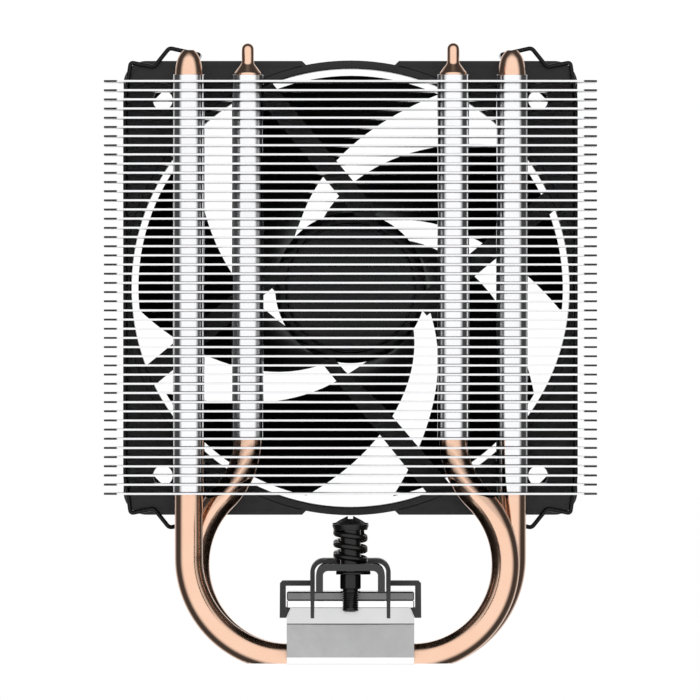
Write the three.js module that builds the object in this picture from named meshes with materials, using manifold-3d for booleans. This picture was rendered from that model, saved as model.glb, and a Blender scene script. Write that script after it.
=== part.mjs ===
// A compact CPU tower cooler: two U-shaped heat pipes in a milled base, a stack of pressed
// fins on their four legs, a crossbar with captive spring screws, and one axial fan that
// two wire clips hold against the fins.
//
// Millimetres. X runs across the tower, Y from the open face of the fins towards the fan,
// Z up from the contact face. The origin is the middle of the contact face.

import * as THREE from 'three';
import { mergeVertices } from 'three/addons/utils/BufferGeometryUtils.js';
import Module from 'manifold-3d';

const wasm = await Module();
wasm.setup();

// ---------------------------------------------------------------- driving dimensions

const GAP = 0.04;             // between pieces that touch
const SLIP = 0.15;            // round a piece that sits in a cut groove

const PIPE_R = 3;             // heat pipes, 6 mm
const PIPE_SIDES = 8;
const PIPE_AXIS_Z = 1.24;     // pipe centre inside the base; the underside is milled flat at z = 0
const PIPE_Y = 3.7;           // half the distance between the two pipes
const OUTER_LEG_X = 34.6;
const INNER_LEG_X = 22;
const PIPE_BEND_X = 13.2;     // where both pipes leave the straight run in the base
const OUTER_BEND_R = 21.4;
const INNER_BEND_R = 20;
const RETURN_BEND_R = 18.2;   // second bend of an inner leg, back to vertical
const LEG_TOP = 126.3;        // end of the full-width pipe
const DOME_TOP = 131.3;
const NIPPLE_R = 1.3;
const NIPPLE_TOP = 132.8;

const FIN_COUNT = 46;
const SLOTTED_FINS = 6;       // the lowest fins, cut open where the inner legs still lean
const FIN_T = 0.42;
const FIN_PITCH = 1.959;
const FIN_Z0 = 36.17;         // underside of the lowest fin
const FIN_HALF_X = 52.7;
const FIN_HALF_Y = 22.5;
const EAR_X = 49.8;           // beyond this the front corners slope back
const EAR_Y = 19.6;
const COLLAR_R = 3.38;
const COLLAR_BORE_R = PIPE_R + 0.06;
const NOTCH_X = 47.2;         // floor of the notch that a fan clip lies in
const NOTCH_Y = [17.7, 19.95];
const LEAN_SLOT_X = [18.5, 31.7];

const BASE_X = 13.6;
const BASE_Y = 18;
const BLOCK_TOP = 8.6;
const CAP_TOP = 12.06;
const SEAT_TOP = 13.5;
const FOOT_TOP = 15.46;
const BEVEL_Z = 1.4;          // bevel round the contact face
const BEVEL_Y = 0.5;
const UNDERCUT_X = 1;         // the cap leans in by this much above UNDERCUT_Z, for the cover's barbs
const UNDERCUT_Z = 1.2;
const BASE_SCREW_X = 9.6;
const BASE_SCREW_Y = 12.6;

const BAR_X = 7.35;           // steel crossbar, an upside-down U
const BAR_Y = 42.6;
const BAR_TOP = 21.5;
const BAR_WALL = 1.45;
const SCREW_Y = 37.5;         // spring screws, 75 mm apart
const COVER_X = 8.6;
const COVER_Y = 20.4;
const COVER_TOP = 22.5;
const COVER_WALL = 0.95;

const SHAFT_R = 2.2;
const THREAD_R = 1.7;
const HEAD_R = 3.95;
const HEAD_Z = 28.75;         // underside of the head, where the spring bears
const HEAD_RIM_Z = 29.85;     // the head is widest here
const HEAD_TOP = 31.35;
const SLOT_HALF = 0.55;       // cross slot
const SLOT_REACH = 1.9;
const SLOT_FLOOR = HEAD_TOP - 0.6;
const SPRING_R = 3.1;         // to the middle of the spring's wire
const SPRING_WIRE_R = 0.62;
const END_TURNS = 0.4;        // each end of the spring lies nearly flat for this part of a turn
const END_RISE = 0.06;
const OPEN_TURNS = 2.5;
const SPRING_START_DEG = 144;
const RING_Z = [19.28, 19.84];
const RING_R = 3.85;
const RING_SHIFT = 0.42;      // the ring's rim lies off the screw's axis, away from its gap
const RING_GAP = 1.5;         // half the width of that gap

const FAN_Z = 80.45;          // fan axis
const FAN_HALF = 48.85;       // half the frame's side
const FAN_FRONT = 22.9;
const FAN_REAR = 47.9;
const DUCT_R = 47.1;
const FLANGE_T = 3.4;
const HOLE_OFFSET = 40.35;    // corner holes, from the fan axis
const HOLE_R = 2.15;
const CORNER_X = 10.4;        // the flanges' straight edges start here, outside the ring's crown
const STRUT_RING_DEG = 24;    // four slanted struts: this angle at the duct, less at the hub
const STRUT_HUB_DEG = -16;
const STRUT_W = 4.4;
const LEAD_STRUT = 3;         // the strut that carries the fan's lead, slimmer towards the hub
const STRUT_Y = [23.2, 26.4];
const MOTOR_BASE_R = 16.2;

const HUB_R = 16;
const HUB_Y = [27.4, 46.4];
const TIP_R = 45.7;
const BLADES = 5;
const BLADE_Y = [29.4, 45.4];
const BLADE_T = 1.5;
const FAN_SHAFT_R = 1.5;

const WIRE_R = 0.46;          // fan clips
const WIRE_SIDES = 6;
const RUN_X = 48.35;          // the long run, in the fins' notches
const WIRE_Y = 18.8;
const HOOK_Y = 50.5;          // the hooked ends, behind the fan
const HOOK_X = 43.4;
const HOOK_RISE = 39.5;       // above and below the fan axis

// ---------------------------------------------------------------- colours and finishes

function finish(color, roughness, metalness) {
  return new THREE.MeshStandardMaterial({ color, roughness, metalness });
}

const COPPER = finish(0xd99a73, 0.22, 1);
const FIN_METAL = finish(0xe8eaee, 0.28, 1);
const MILLED = finish(0xb9babb, 0.35, 1);
const POLISHED = finish(0xe4e4e4, 0.15, 1);
const DARK_METAL = finish(0x6c6c6c, 0.4, 1);
const BLACK_STEEL = finish(0x2e2e2e, 0.4, 0.6);
const STEEL = finish(0xa7a9ab, 0.3, 1);
const BLACK_PLASTIC = finish(0x1d1d1e, 0.5, 0);
const MAGNET = finish(0x3a3a3c, 0.7, 0);
const BRASS = finish(0xb58b3f, 0.35, 1);
const WINDING = finish(0xa8542a, 0.4, 0.8);
const BOARD = finish(0x1f4d33, 0.5, 0);
const LABEL = finish(0x2b2b2c, 0.6, 0);

// ---------------------------------------------------------------- solids

// A closed geometry as a solid, with its faces turned out.
function solid(geometry) {
  const bare = geometry.clone();
  for (const name of ['normal', 'uv']) bare.deleteAttribute(name);
  const merged = mergeVertices(bare, 1e-4);
  const vertProperties = new Float32Array(merged.attributes.position.array);
  const make = (triVerts) => new wasm.Manifold(new wasm.Mesh({ numProp: 3, vertProperties, triVerts }));
  const triVerts = new Uint32Array(merged.index.array);
  const result = make(triVerts);
  return result.volume() > 0 ? result : make(triVerts.reverse());
}

function geometryOf(body) {
  const mesh = body.getMesh();
  const geometry = new THREE.BufferGeometry();
  geometry.setAttribute('position', new THREE.BufferAttribute(new Float32Array(mesh.vertProperties), 3));
  geometry.setIndex(new THREE.BufferAttribute(new Uint32Array(mesh.triVerts), 1));
  geometry.computeVertexNormals();
  return geometry;
}

const deg = THREE.MathUtils.degToRad;
const joined = (bodies) => bodies.reduce((sum, body) => sum.add(body));
const cut = (body, tools) => tools.reduce((rest, tool) => rest.subtract(tool), body);

function box([x0, x1], [y0, y1], [z0, z1]) {
  const geometry = new THREE.BoxGeometry(x1 - x0, y1 - y0, z1 - z0);
  return solid(geometry.translate((x0 + x1) / 2, (y0 + y1) / 2, (z0 + z1) / 2));
}

// An outline drawn in X and Z, run from y0 to y1.
function alongY(shape, y0, y1) {
  const geometry = new THREE.ExtrudeGeometry(shape, { depth: y1 - y0, bevelEnabled: false });
  return solid(geometry.rotateX(Math.PI / 2).translate(0, y1, 0));
}

// An outline drawn in X and Y, run from z0 to z1.
function alongZ(shape, z0, z1) {
  const geometry = new THREE.ExtrudeGeometry(shape, { depth: z1 - z0, bevelEnabled: false });
  return solid(geometry.translate(0, 0, z0));
}

const outline = (points) => new THREE.Shape(points.map(([a, b]) => new THREE.Vector2(a, b)));
const turnedProfile = (points, sides) =>
  new THREE.LatheGeometry(points.map(([r, h]) => new THREE.Vector2(r, h)), sides);

// A profile of [radius, height] turned about a vertical axis at x, y.
function turnedZ(points, sides, x = 0, y = 0) {
  return solid(turnedProfile(points, sides).rotateX(Math.PI / 2).translate(x, y, 0));
}

// A profile of [radius, y] turned about the fan axis.
function turnedFan(points, sides) {
  return solid(turnedProfile(points, sides).translate(0, 0, FAN_Z));
}

// A plain bar of round section whose profile runs from h0 to h1.
const rod = (r, h0, h1) => [[0, h0], [r, h0], [r, h1], [0, h1]];

// A tube wall of round section, closed on itself.
const ring = (r0, r1, h0, h1) => [[r0, h0], [r1, h0], [r1, h1], [r0, h1], [r0, h0]];

// A curve through stations placed by hand, so a sweep is fine in the bends and coarse between.
class StationCurve extends THREE.Curve {
  constructor(stations) {
    super();
    this.stations = stations;
  }

  getUtoTmapping(u) {
    return u;
  }

  getPoint(t, target = new THREE.Vector3()) {
    const last = this.stations.length - 1;
    const i = Math.min(Math.floor(t * last + 1e-9), last - 1);
    return target.lerpVectors(this.stations[i], this.stations[i + 1], t * last - i);
  }

  getTangent(t, target = new THREE.Vector3()) {
    const last = this.stations.length - 1;
    const i = Math.round(t * last);
    const before = this.stations[Math.max(i - 1, 0)];
    const after = this.stations[Math.min(i + 1, last)];
    return target.subVectors(after, before).normalize();
  }
}

function sweep(stations, radius, sides) {
  const section = new THREE.Shape();
  for (let i = 0; i < sides; i += 1) {
    const a = (i / sides) * 2 * Math.PI;
    const move = i === 0 ? 'moveTo' : 'lineTo';
    section[move](radius * Math.cos(a), radius * Math.sin(a));
  }
  const extrudePath = new StationCurve(stations);
  return solid(new THREE.ExtrudeGeometry(section, { steps: stations.length - 1, extrudePath }));
}

// ---------------------------------------------------------------- heat pipes

const arc = (cx, cz, r, fromDeg, toDeg, steps) =>
  Array.from({ length: steps + 1 }, (_, i) => {
    const a = deg(fromDeg + ((toDeg - fromDeg) * i) / steps);
    return [cx + r * Math.cos(a), cz + r * Math.sin(a)];
  });

// The right-hand half of each route, from the middle of the base up, as [x, z].
function outerLegRoute() {
  const bend = arc(PIPE_BEND_X, PIPE_AXIS_Z + OUTER_BEND_R, OUTER_BEND_R, -90, 0, 7);
  return [...bend, [OUTER_LEG_X, LEG_TOP]];
}

function innerLegRoute() {
  const out = arc(PIPE_BEND_X, PIPE_AXIS_Z + INNER_BEND_R, INNER_BEND_R, -90, 45, 9);
  const returnX = INNER_LEG_X + RETURN_BEND_R;
  const back = arc(returnX, 48.25, RETURN_BEND_R, 225, 180, 3);
  return [...out, ...back, [INNER_LEG_X, LEG_TOP]];
}

// A pipe has its outer leg on one side and its inner leg on the other.
function pipeStations(outerSide, y) {
  const at = (side) => ([x, z]) => new THREE.Vector3(side * x, y, z);
  const down = outerLegRoute().map(at(outerSide)).reverse();
  return [...down, ...innerLegRoute().map(at(-outerSide))];
}

const belowContactFace = () => box([-60, 60], [-60, 60], [-20, 0]);

function heatPipe(outerSide, y) {
  const tube = sweep(pipeStations(outerSide, y), PIPE_R, PIPE_SIDES);
  const low = LEG_TOP - 0.5;
  const dome = turnedZ([[0, low], [2.9, low], [2.95, LEG_TOP + 0.6], [2.5, DOME_TOP - 1.8],
    [1.5, DOME_TOP - 0.2], [0, DOME_TOP]], PIPE_SIDES, outerSide * OUTER_LEG_X, y);
  const nipple = turnedZ([[0, low], [2.9, low], [2.9, LEG_TOP + 0.1], [NIPPLE_R, LEG_TOP + 2.4],
    [NIPPLE_R, NIPPLE_TOP - 0.8], [0, NIPPLE_TOP]], PIPE_SIDES, -outerSide * INNER_LEG_X, y);
  return cut(joined([tube, dome, nipple]), [belowContactFace()]);
}

const pipeGroove = (outerSide, y) => sweep(pipeStations(outerSide, y), PIPE_R + SLIP, PIPE_SIDES);

// ---------------------------------------------------------------- fins

const LEGS = [
  { x: -OUTER_LEG_X, y: -PIPE_Y },
  { x: INNER_LEG_X, y: -PIPE_Y },
  { x: -INNER_LEG_X, y: PIPE_Y },
  { x: OUTER_LEG_X, y: PIPE_Y },
];
const isInner = (leg) => Math.abs(leg.x) === INNER_LEG_X;

// The right-hand half of a plate's edge, from the front; the notch near the back is for a fan clip.
const FIN_SIDE = [
  [EAR_X, -FIN_HALF_Y], [FIN_HALF_X, -EAR_Y], [FIN_HALF_X, NOTCH_Y[0] - 0.5], [NOTCH_X, NOTCH_Y[0]],
  [NOTCH_X, NOTCH_Y[1]], [EAR_X, NOTCH_Y[1]], [EAR_X, FIN_HALF_Y],
];

function finOutline() {
  return outline([...FIN_SIDE, ...FIN_SIDE.map(([x, y]) => [-x, y]).reverse()]);
}

const finZ = (i) => FIN_Z0 + i * FIN_PITCH;

// A run of fins joined by the collars that each one stands on the next with.
function finRun(first, last, collared, topZ) {
  const bottom = finZ(first);
  const plates = [];
  for (let i = first; i <= last; i += 1) plates.push(alongZ(finOutline(), finZ(i), finZ(i) + FIN_T));
  const collars = collared.map(({ x, y }) => turnedZ(rod(COLLAR_R, bottom, topZ), PIPE_SIDES, x, y));
  const bore = rod(COLLAR_BORE_R, bottom - 1, topZ + 1);
  const bores = collared.map(({ x, y }) => turnedZ(bore, PIPE_SIDES, x, y));
  return cut(joined([...plates, ...collars]), bores);
}

function finStack() {
  return finRun(SLOTTED_FINS, FIN_COUNT - 1, LEGS, finZ(FIN_COUNT - 1) + FIN_PITCH - 0.2);
}

// The lowest fins have collars on the outer legs only; a slot clears each leaning inner leg.
function slottedFins() {
  const top = finZ(SLOTTED_FINS) - 0.3;
  const run = finRun(0, SLOTTED_FINS - 1, LEGS.filter((leg) => !isInner(leg)), top);
  const slots = LEGS.filter(isInner).map(({ x, y }) => {
    const side = Math.sign(x);
    const across = LEAN_SLOT_X.map((edge) => side * edge).sort((a, b) => a - b);
    return box(across, [y - 3.4, y + 3.4], [finZ(0) - 1, top + 1]);
  });
  return cut(run, slots);
}

// ---------------------------------------------------------------- base

const fourBaseScrews = [[-1, -1], [1, -1], [-1, 1], [1, 1]].map(
  ([sx, sy]) => [sx * BASE_SCREW_X, sy * BASE_SCREW_Y]);
const screwHoles = (r, z0, z1) => fourBaseScrews.map(([x, y]) => turnedZ(rod(r, z0, z1), 8, x, y));

function baseBlock() {
  const profile = outline([
    [-BASE_Y, BEVEL_Z], [-BASE_Y + BEVEL_Y, 0], [BASE_Y - BEVEL_Y, 0], [BASE_Y, BEVEL_Z],
    [BASE_Y, BLOCK_TOP], [-BASE_Y, BLOCK_TOP],
  ]);
  const geometry = new THREE.ExtrudeGeometry(profile, { depth: 2 * BASE_X, bevelEnabled: false });
  const block = solid(geometry.rotateX(Math.PI / 2).rotateZ(Math.PI / 2).translate(-BASE_X, 0, 0));
  const sinks = fourBaseScrews.map(([x, y]) =>
    turnedZ([[0, -1], [3.1, -1], [3.1, 0.5], [1.75, 2], [1.75, 20], [0, 20]], 8, x, y));
  return cut(block, [pipeGroove(-1, -PIPE_Y), pipeGroove(1, PIPE_Y), ...sinks]);
}

// The cap's upper edges are undercut for the barbs of the crossbar's cover.
function baseCap() {
  const z0 = BLOCK_TOP + GAP;
  const profile = outline([
    [-BASE_X, z0], [BASE_X, z0], [BASE_X, z0 + UNDERCUT_Z], [BASE_X - UNDERCUT_X, CAP_TOP],
    [-BASE_X + UNDERCUT_X, CAP_TOP], [-BASE_X, z0 + UNDERCUT_Z],
  ]);
  return cut(alongY(profile, -BASE_Y, BASE_Y), screwHoles(1.75, 0, 20));
}

const seatPlate = () =>
  cut(box([-BASE_X, BASE_X], [-BASE_Y, BASE_Y], [CAP_TOP + GAP, SEAT_TOP]), screwHoles(1.75, 0, 20));
const footPlate = () => box([-BASE_X, BASE_X], [-BASE_Y, BASE_Y], [SEAT_TOP + GAP, FOOT_TOP]);

const baseScrew = ([x, y]) =>
  turnedZ([
    [0, 0.3], [2.8, 0.3], [2.8, 0.55], [1.5, 1.85], [1.5, SEAT_TOP - 0.2], [0, SEAT_TOP - 0.2],
  ], 8, x, y);

// ---------------------------------------------------------------- crossbar and its cover

// An upside-down U with round shoulders: outer half-width, top, wall and foot.
function arch(halfX, top, wall, foot, shoulder) {
  const shape = new THREE.Shape();
  const inner = Math.max(shoulder - wall, 0.4);
  shape.moveTo(-halfX, foot);
  shape.lineTo(-halfX + wall, foot);
  shape.lineTo(-halfX + wall, top - wall - inner);
  shape.absarc(-halfX + wall + inner, top - wall - inner, inner, Math.PI, Math.PI / 2, true);
  shape.absarc(halfX - wall - inner, top - wall - inner, inner, Math.PI / 2, 0, true);
  shape.lineTo(halfX - wall, foot);
  shape.lineTo(halfX, foot);
  shape.lineTo(halfX, top - shoulder);
  shape.absarc(halfX - shoulder, top - shoulder, shoulder, 0, Math.PI / 2, false);
  shape.absarc(-halfX + shoulder, top - shoulder, shoulder, Math.PI / 2, Math.PI, false);
  return shape;
}

function mountingBar() {
  const bar = alongY(arch(BAR_X, BAR_TOP, BAR_WALL, FOOT_TOP + GAP, 2.6), -BAR_Y, BAR_Y);
  const holes = [-SCREW_Y, SCREW_Y].map((y) => turnedZ(rod(SHAFT_R + 0.3, 10, 30), 12, 0, y));
  return cut(bar, holes);
}

// The cover straddles the bar, grips the base with its end legs and snaps under the seat
// plate with a barbed arm on each side.
function barCover() {
  const hood = alongY(arch(COVER_X, COVER_TOP, COVER_WALL, FOOT_TOP + 0.2, 2.9), -COVER_Y, COVER_Y);
  const legFoot = 9.8;
  const legShape = (side) => outline([
    [side * COVER_X, 18], [side * (COVER_X - COVER_WALL), 18], [side * (COVER_X - COVER_WALL), FOOT_TOP],
    [side * (COVER_X - 0.83), legFoot], [side * (COVER_X - 0.1), legFoot],
  ]);
  const armShape = (side) => outline([
    [side * (COVER_X - 0.4), 16.66], [side * 13.85, 16.66], [side * 13.85, CAP_TOP - 0.02],
    [side * 12.75, CAP_TOP - 0.02], [side * 13.75, legFoot], [side * 15.15, legFoot],
    [side * 15.1, 17.2], [side * 14.55, 17.75], [side * (COVER_X - 0.4), 17.75],
  ]);
  const pieces = [hood];
  for (const side of [-1, 1]) {
    pieces.push(alongY(armShape(side), -8, 8));
    pieces.push(alongY(legShape(side), -COVER_Y, -BASE_Y - 0.25));
    pieces.push(alongY(legShape(side), BASE_Y + 0.25, COVER_Y));
  }
  return joined(pieces);
}

// ---------------------------------------------------------------- spring screws

function springScrew(y) {
  const groove = [RING_Z[0] - 0.13, RING_Z[1] + 0.11];
  const body = turnedZ([
    [0, 11.3], [THREAD_R - 0.25, 11.3], [THREAD_R, 11.7], [THREAD_R, 16.1], [SHAFT_R, 16.1],
    [SHAFT_R, groove[0]], [SHAFT_R - 0.5, groove[0]], [SHAFT_R - 0.5, groove[1]], [SHAFT_R, groove[1]],
    [SHAFT_R, HEAD_Z], [HEAD_R - 0.35, HEAD_Z], [HEAD_R, HEAD_RIM_Z], [HEAD_R - 0.75, HEAD_RIM_Z + 0.05],
    [1.5, HEAD_TOP - 0.4], [0.9, HEAD_TOP], [0, HEAD_TOP],
  ], 12, 0, y);
  const slots = [
    box([-SLOT_HALF, SLOT_HALF], [y - SLOT_REACH, y + SLOT_REACH], [SLOT_FLOOR, 40]),
    box([-SLOT_REACH, SLOT_REACH], [y - SLOT_HALF, y + SLOT_HALF], [SLOT_FLOOR, 40]),
  ];
  return cut(body, slots);
}

// The retaining ring snaps into the screw's groove from its right.
function retainingRing(y) {
  const [z0, z1] = RING_Z;
  const disc = turnedZ(rod(RING_R, z0, z1), 16, RING_SHIFT, y);
  const centre = turnedZ(rod(SHAFT_R - 0.4, z0 - 1, z1 + 1), 12, 0, y);
  return cut(disc, [centre, box([-9, 0], [y - RING_GAP, y + RING_GAP], [z0 - 1, z1 + 1])]);
}

// A compression spring. Its ends lie nearly flat and the turns between them are open.
function screwSpring(y) {
  const stepsPerTurn = 10;
  const total = 2 * END_TURNS + OPEN_TURNS;
  const steps = Math.round(total * stepsPerTurn);
  const low = BAR_TOP + SPRING_WIRE_R + 0.05;
  const high = HEAD_Z - SPRING_WIRE_R - 0.05;
  const rise = (turns) => {
    if (turns < END_TURNS) return low + (END_RISE * turns) / END_TURNS;
    if (turns > total - END_TURNS) return high - (END_RISE * (total - turns)) / END_TURNS;
    const share = (turns - END_TURNS) / OPEN_TURNS;
    return low + END_RISE + (high - low - 2 * END_RISE) * share;
  };
  const stations = Array.from({ length: steps + 1 }, (_, i) => {
    const turns = (total * i) / steps;
    const a = deg(SPRING_START_DEG) - turns * 2 * Math.PI;
    return new THREE.Vector3(SPRING_R * Math.cos(a), y + SPRING_R * Math.sin(a), rise(turns));
  });
  return sweep(stations, SPRING_WIRE_R, 5);
}

// ---------------------------------------------------------------- fan: frame

const fanPoint = (r, angle) => [r * Math.cos(deg(angle)), FAN_Z + r * Math.sin(deg(angle))];

// One corner of a flange, reaching in to the duct ring.
function cornerShape(sx, sz) {
  const edge = FAN_HALF;
  const local = [
    [CORNER_X - 1.4, edge - 1.6], [CORNER_X, edge - 0.1], [edge - 4.4, edge - 0.1],
    [edge - 1.9, edge - 1.3], [edge - 1.2, edge - 2], [edge - 0.1, edge - 5.4],
    [edge - 0.1, CORNER_X], [edge - 1.6, CORNER_X - 1.4], [30, 34],
  ];
  return outline(local.map(([x, z]) => [sx * x, FAN_Z + sz * z]));
}

const cornerAxes = [[-1, -1], [1, -1], [1, 1], [-1, 1]];

function strut(index) {
  const hub = fanPoint(MOTOR_BASE_R - 0.6, STRUT_HUB_DEG + 90 * index);
  const rim = fanPoint(DUCT_R + 0.9, STRUT_RING_DEG + 90 * index);
  const length = Math.hypot(rim[0] - hub[0], rim[1] - hub[1]);
  const along = [(rim[0] - hub[0]) / length, (rim[1] - hub[1]) / length];
  // A corner this far out from the hub, and this far to the side of the strut's middle line.
  const corner = (out, side) => [
    hub[0] + along[0] * out - along[1] * side,
    hub[1] + along[1] * out + along[0] * side,
  ];
  const half = STRUT_W / 2;
  const plain = [corner(0, -half), corner(length, -half), corner(length, half), corner(0, half)];
  const slimmed = [
    corner(0, -half), corner(length, -half * 1.15), corner(length, half * 1.15), corner(16, half),
    corner(4, half / 4), corner(0, half / 4),
  ];
  return alongY(outline(index === LEAD_STRUT ? slimmed : plain), ...STRUT_Y);
}

function fanFrame() {
  const duct = turnedFan(ring(DUCT_R, FAN_HALF, FAN_FRONT, FAN_REAR), 40);
  const flanges = cornerAxes.flatMap(([sx, sz]) => [
    alongY(cornerShape(sx, sz), FAN_FRONT, FAN_FRONT + FLANGE_T),
    alongY(cornerShape(sx, sz), FAN_REAR - FLANGE_T, FAN_REAR),
  ]);
  const clear = turnedFan(rod(DUCT_R + 0.3, FAN_FRONT - 1, FAN_REAR + 1), 40);
  const holes = cornerAxes.flatMap(([sx, sz]) => {
    const bore = turnedProfile(rod(HOLE_R, FAN_FRONT - 1, FAN_REAR + 1), 12);
    const round = solid(bore.translate(sx * HOLE_OFFSET, 0, FAN_Z + sz * HOLE_OFFSET));
    const hookX = [sx * (HOOK_X - 0.9), sx * (HOOK_X + 1.9)].sort((a, b) => a - b);
    const hookZ = FAN_Z + sz * HOOK_RISE;
    return [round, box(hookX, [FAN_REAR - FLANGE_T - 1, FAN_REAR + 1], [hookZ - 0.9, hookZ + 0.9])];
  });
  const leadNotch = box([-FAN_HALF - 1, -FAN_HALF + 4], [FAN_FRONT - 1, FAN_FRONT + 2.2], [50.5, 56.5]);
  const openFlanges = flanges.map((flange) => flange.subtract(clear));
  const shell = cut(joined([duct, ...openFlanges]), [...holes, leadNotch]);
  const base = turnedFan(rod(MOTOR_BASE_R, FAN_FRONT + 0.9, STRUT_Y[1]), 24);
  const boss = turnedFan(rod(3.9, STRUT_Y[1] - 0.5, 39.6), 12);
  const bore = turnedFan(rod(2.8, FAN_FRONT + 1.9, 60), 12);
  const motorMount = cut(joined([base, boss, ...[0, 1, 2, 3].map(strut)]), [bore]);
  return shell.add(motorMount);
}

// ---------------------------------------------------------------- fan: rotor and motor

// Both edges of a blade are spirals: their angle falls with the logarithm of the radius.
function bladeEdges(r) {
  const u = Math.log(44.5 / r);
  const gapLow = 43.8 + 66.6 * u;
  const rootCurl = 170 * Math.max(0, u - 0.85) ** 2;
  const gapHigh = 67 + 56 * u + 10.4 * u * u + rootCurl;
  return [gapHigh, gapLow + 360 / BLADES];
}

function blade(index) {
  const radial = 5;
  const chord = 4;
  const positions = [];
  const indices = [];
  const root = HUB_R - 1;
  const radii = Array.from({ length: radial + 1 }, (_, i) => root + ((TIP_R - root) * i) / radial);
  for (const offset of [-BLADE_T / 2, BLADE_T / 2]) {
    for (const r of radii) {
      const [low, high] = bladeEdges(r);
      for (let j = 0; j <= chord; j += 1) {
        const s = j / chord;
        const [x, z] = fanPoint(r, low + (high - low) * s + (360 / BLADES) * index);
        const y = BLADE_Y[0] + (BLADE_Y[1] - BLADE_Y[0]) * s;
        positions.push(x, y + offset, z);
      }
    }
  }
  const row = chord + 1;
  const layer = row * (radial + 1);
  const quad = (a, b, c, d) => indices.push(a, b, c, a, c, d);
  for (let i = 0; i < radial; i += 1) {
    for (let j = 0; j < chord; j += 1) {
      const a = i * row + j;
      quad(a, a + row, a + row + 1, a + 1);
      quad(layer + a, layer + a + 1, layer + a + row + 1, layer + a + row);
    }
  }
  for (let i = 0; i < radial; i += 1) {
    const a = i * row;
    const b = a + chord;
    quad(a, layer + a, layer + a + row, a + row);
    quad(b, b + row, layer + b + row, layer + b);
  }
  for (let j = 0; j < chord; j += 1) {
    const a = j;
    const b = radial * row + j;
    quad(a, a + 1, layer + a + 1, layer + a);
    quad(b, layer + b, layer + b + 1, b + 1);
  }
  const geometry = new THREE.BufferGeometry();
  geometry.setAttribute('position', new THREE.BufferAttribute(new Float32Array(positions), 3));
  geometry.setIndex(indices);
  return solid(geometry);
}

function impeller() {
  const [y0, y1] = HUB_Y;
  const cup = [
    [1.7, y1], [1.7, y1 - 6], [3.4, y1 - 6], [3.4, y1 - 1.7], [14.3, y1 - 1.7], [14.3, y0],
    [HUB_R, y0], [HUB_R, y1 - 1.4], [HUB_R - 1.4, y1], [1.7, y1],
  ];
  const hub = turnedFan(cup, 24);
  const clear = turnedFan(rod(HUB_R - 0.9, 20, 60), 24);
  const blades = Array.from({ length: BLADES }, (_, i) => blade(i).subtract(clear));
  return joined([hub, ...blades]);
}

const rotorYoke = () => turnedFan(ring(13.1, 14.2, 28.2, 44.5), 24);
const magnetRing = () => turnedFan(ring(11.6, 13, 28.6, 44), 24);
const fanShaft = () => turnedFan([[0, 26.2], [1.1, 26.2], [FAN_SHAFT_R, 26.8], [FAN_SHAFT_R, 27.4],
  [1.1, 27.4], [1.1, 28], [FAN_SHAFT_R, 28], [FAN_SHAFT_R, 46.2], [0, 46.2]], 12);
const bearingSleeve = () => turnedFan(ring(1.58, 2.7, 28.7, 39.8), 12);
const shaftRetainer = () => turnedFan(ring(1.2, 2.5, 27.45, 27.95), 12);
const thrustPad = () => turnedFan(rod(2.4, 24.9, 26.1), 12);
const circuitBoard = () => turnedFan(ring(4.2, 12.6, 26.6, 27.6), 20);
const hubLabel = () => turnedFan(rod(13.6, FAN_FRONT + 0.55, FAN_FRONT + 0.85), 24);

// Four poles on a laminated core, each with its winding.
const POLE_ARM = 2.2;

function statorCore() {
  const centre = turnedFan(ring(4.05, 6.2, 32, 40), 12);
  const shoes = cut(turnedFan(ring(9.9, 11.3, 32, 40), 24), [45, 135, 225, 315].map((angle) => {
    const [x, z] = fanPoint(10.6, angle);
    return box([x - 1.6, x + 1.6], [31, 41], [z - 1.6, z + 1.6]);
  }));
  const bars = [
    box([-10.4, 10.4], [32, 40], [FAN_Z - POLE_ARM / 2, FAN_Z + POLE_ARM / 2]),
    box([-POLE_ARM / 2, POLE_ARM / 2], [32, 40], [FAN_Z - 10.4, FAN_Z + 10.4]),
  ];
  const boss = turnedFan(rod(4.05, 20, 60), 12);
  return joined([centre, shoes, ...bars]).subtract(boss);
}

function winding(index) {
  const outer = box([6.6, 9.2], [30.4, 41.6], [-3, 3]);
  const inner = box([6, 10], [31.8, 40.2], [-POLE_ARM / 2 - 0.2, POLE_ARM / 2 + 0.2]);
  const turn = outer.subtract(inner).rotate([0, 90 * index, 0]);
  return turn.translate([0, 0, FAN_Z]);
}

// ---------------------------------------------------------------- fan clips

// Half a clip, from the middle of the long run up to the hooked end behind the fan.
function clipHalf(side, up) {
  const run = [
    [RUN_X, WIRE_Y, 0], [RUN_X, WIRE_Y, 40.5], [47.2, WIRE_Y, 48.4], [42.2, WIRE_Y, 47.4],
    [38.9, WIRE_Y, 51.5], [32.6, WIRE_Y + 1.5, 50.1], [32.4, FAN_REAR, 50],
    [32.7, HOOK_Y, 49.6], [34.6, HOOK_Y, 48.9], [42.7, HOOK_Y, 40.8], [HOOK_X, HOOK_Y - 0.5, HOOK_RISE],
    [HOOK_X, FAN_REAR - 1.2, HOOK_RISE],
  ];
  return run.map(([x, y, z]) => new THREE.Vector3(side * x, y, FAN_Z + up * z));
}

function fanClip(side) {
  const stations = [...clipHalf(side, 1).reverse(), ...clipHalf(side, -1).slice(1)];
  return sweep(stations, WIRE_R, WIRE_SIDES);
}

// ---------------------------------------------------------------- assembly

const cooler = new THREE.Group();

function place(name, body, material) {
  const mesh = new THREE.Mesh(geometryOf(body), material);
  mesh.name = name;
  cooler.add(mesh);
}

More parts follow.
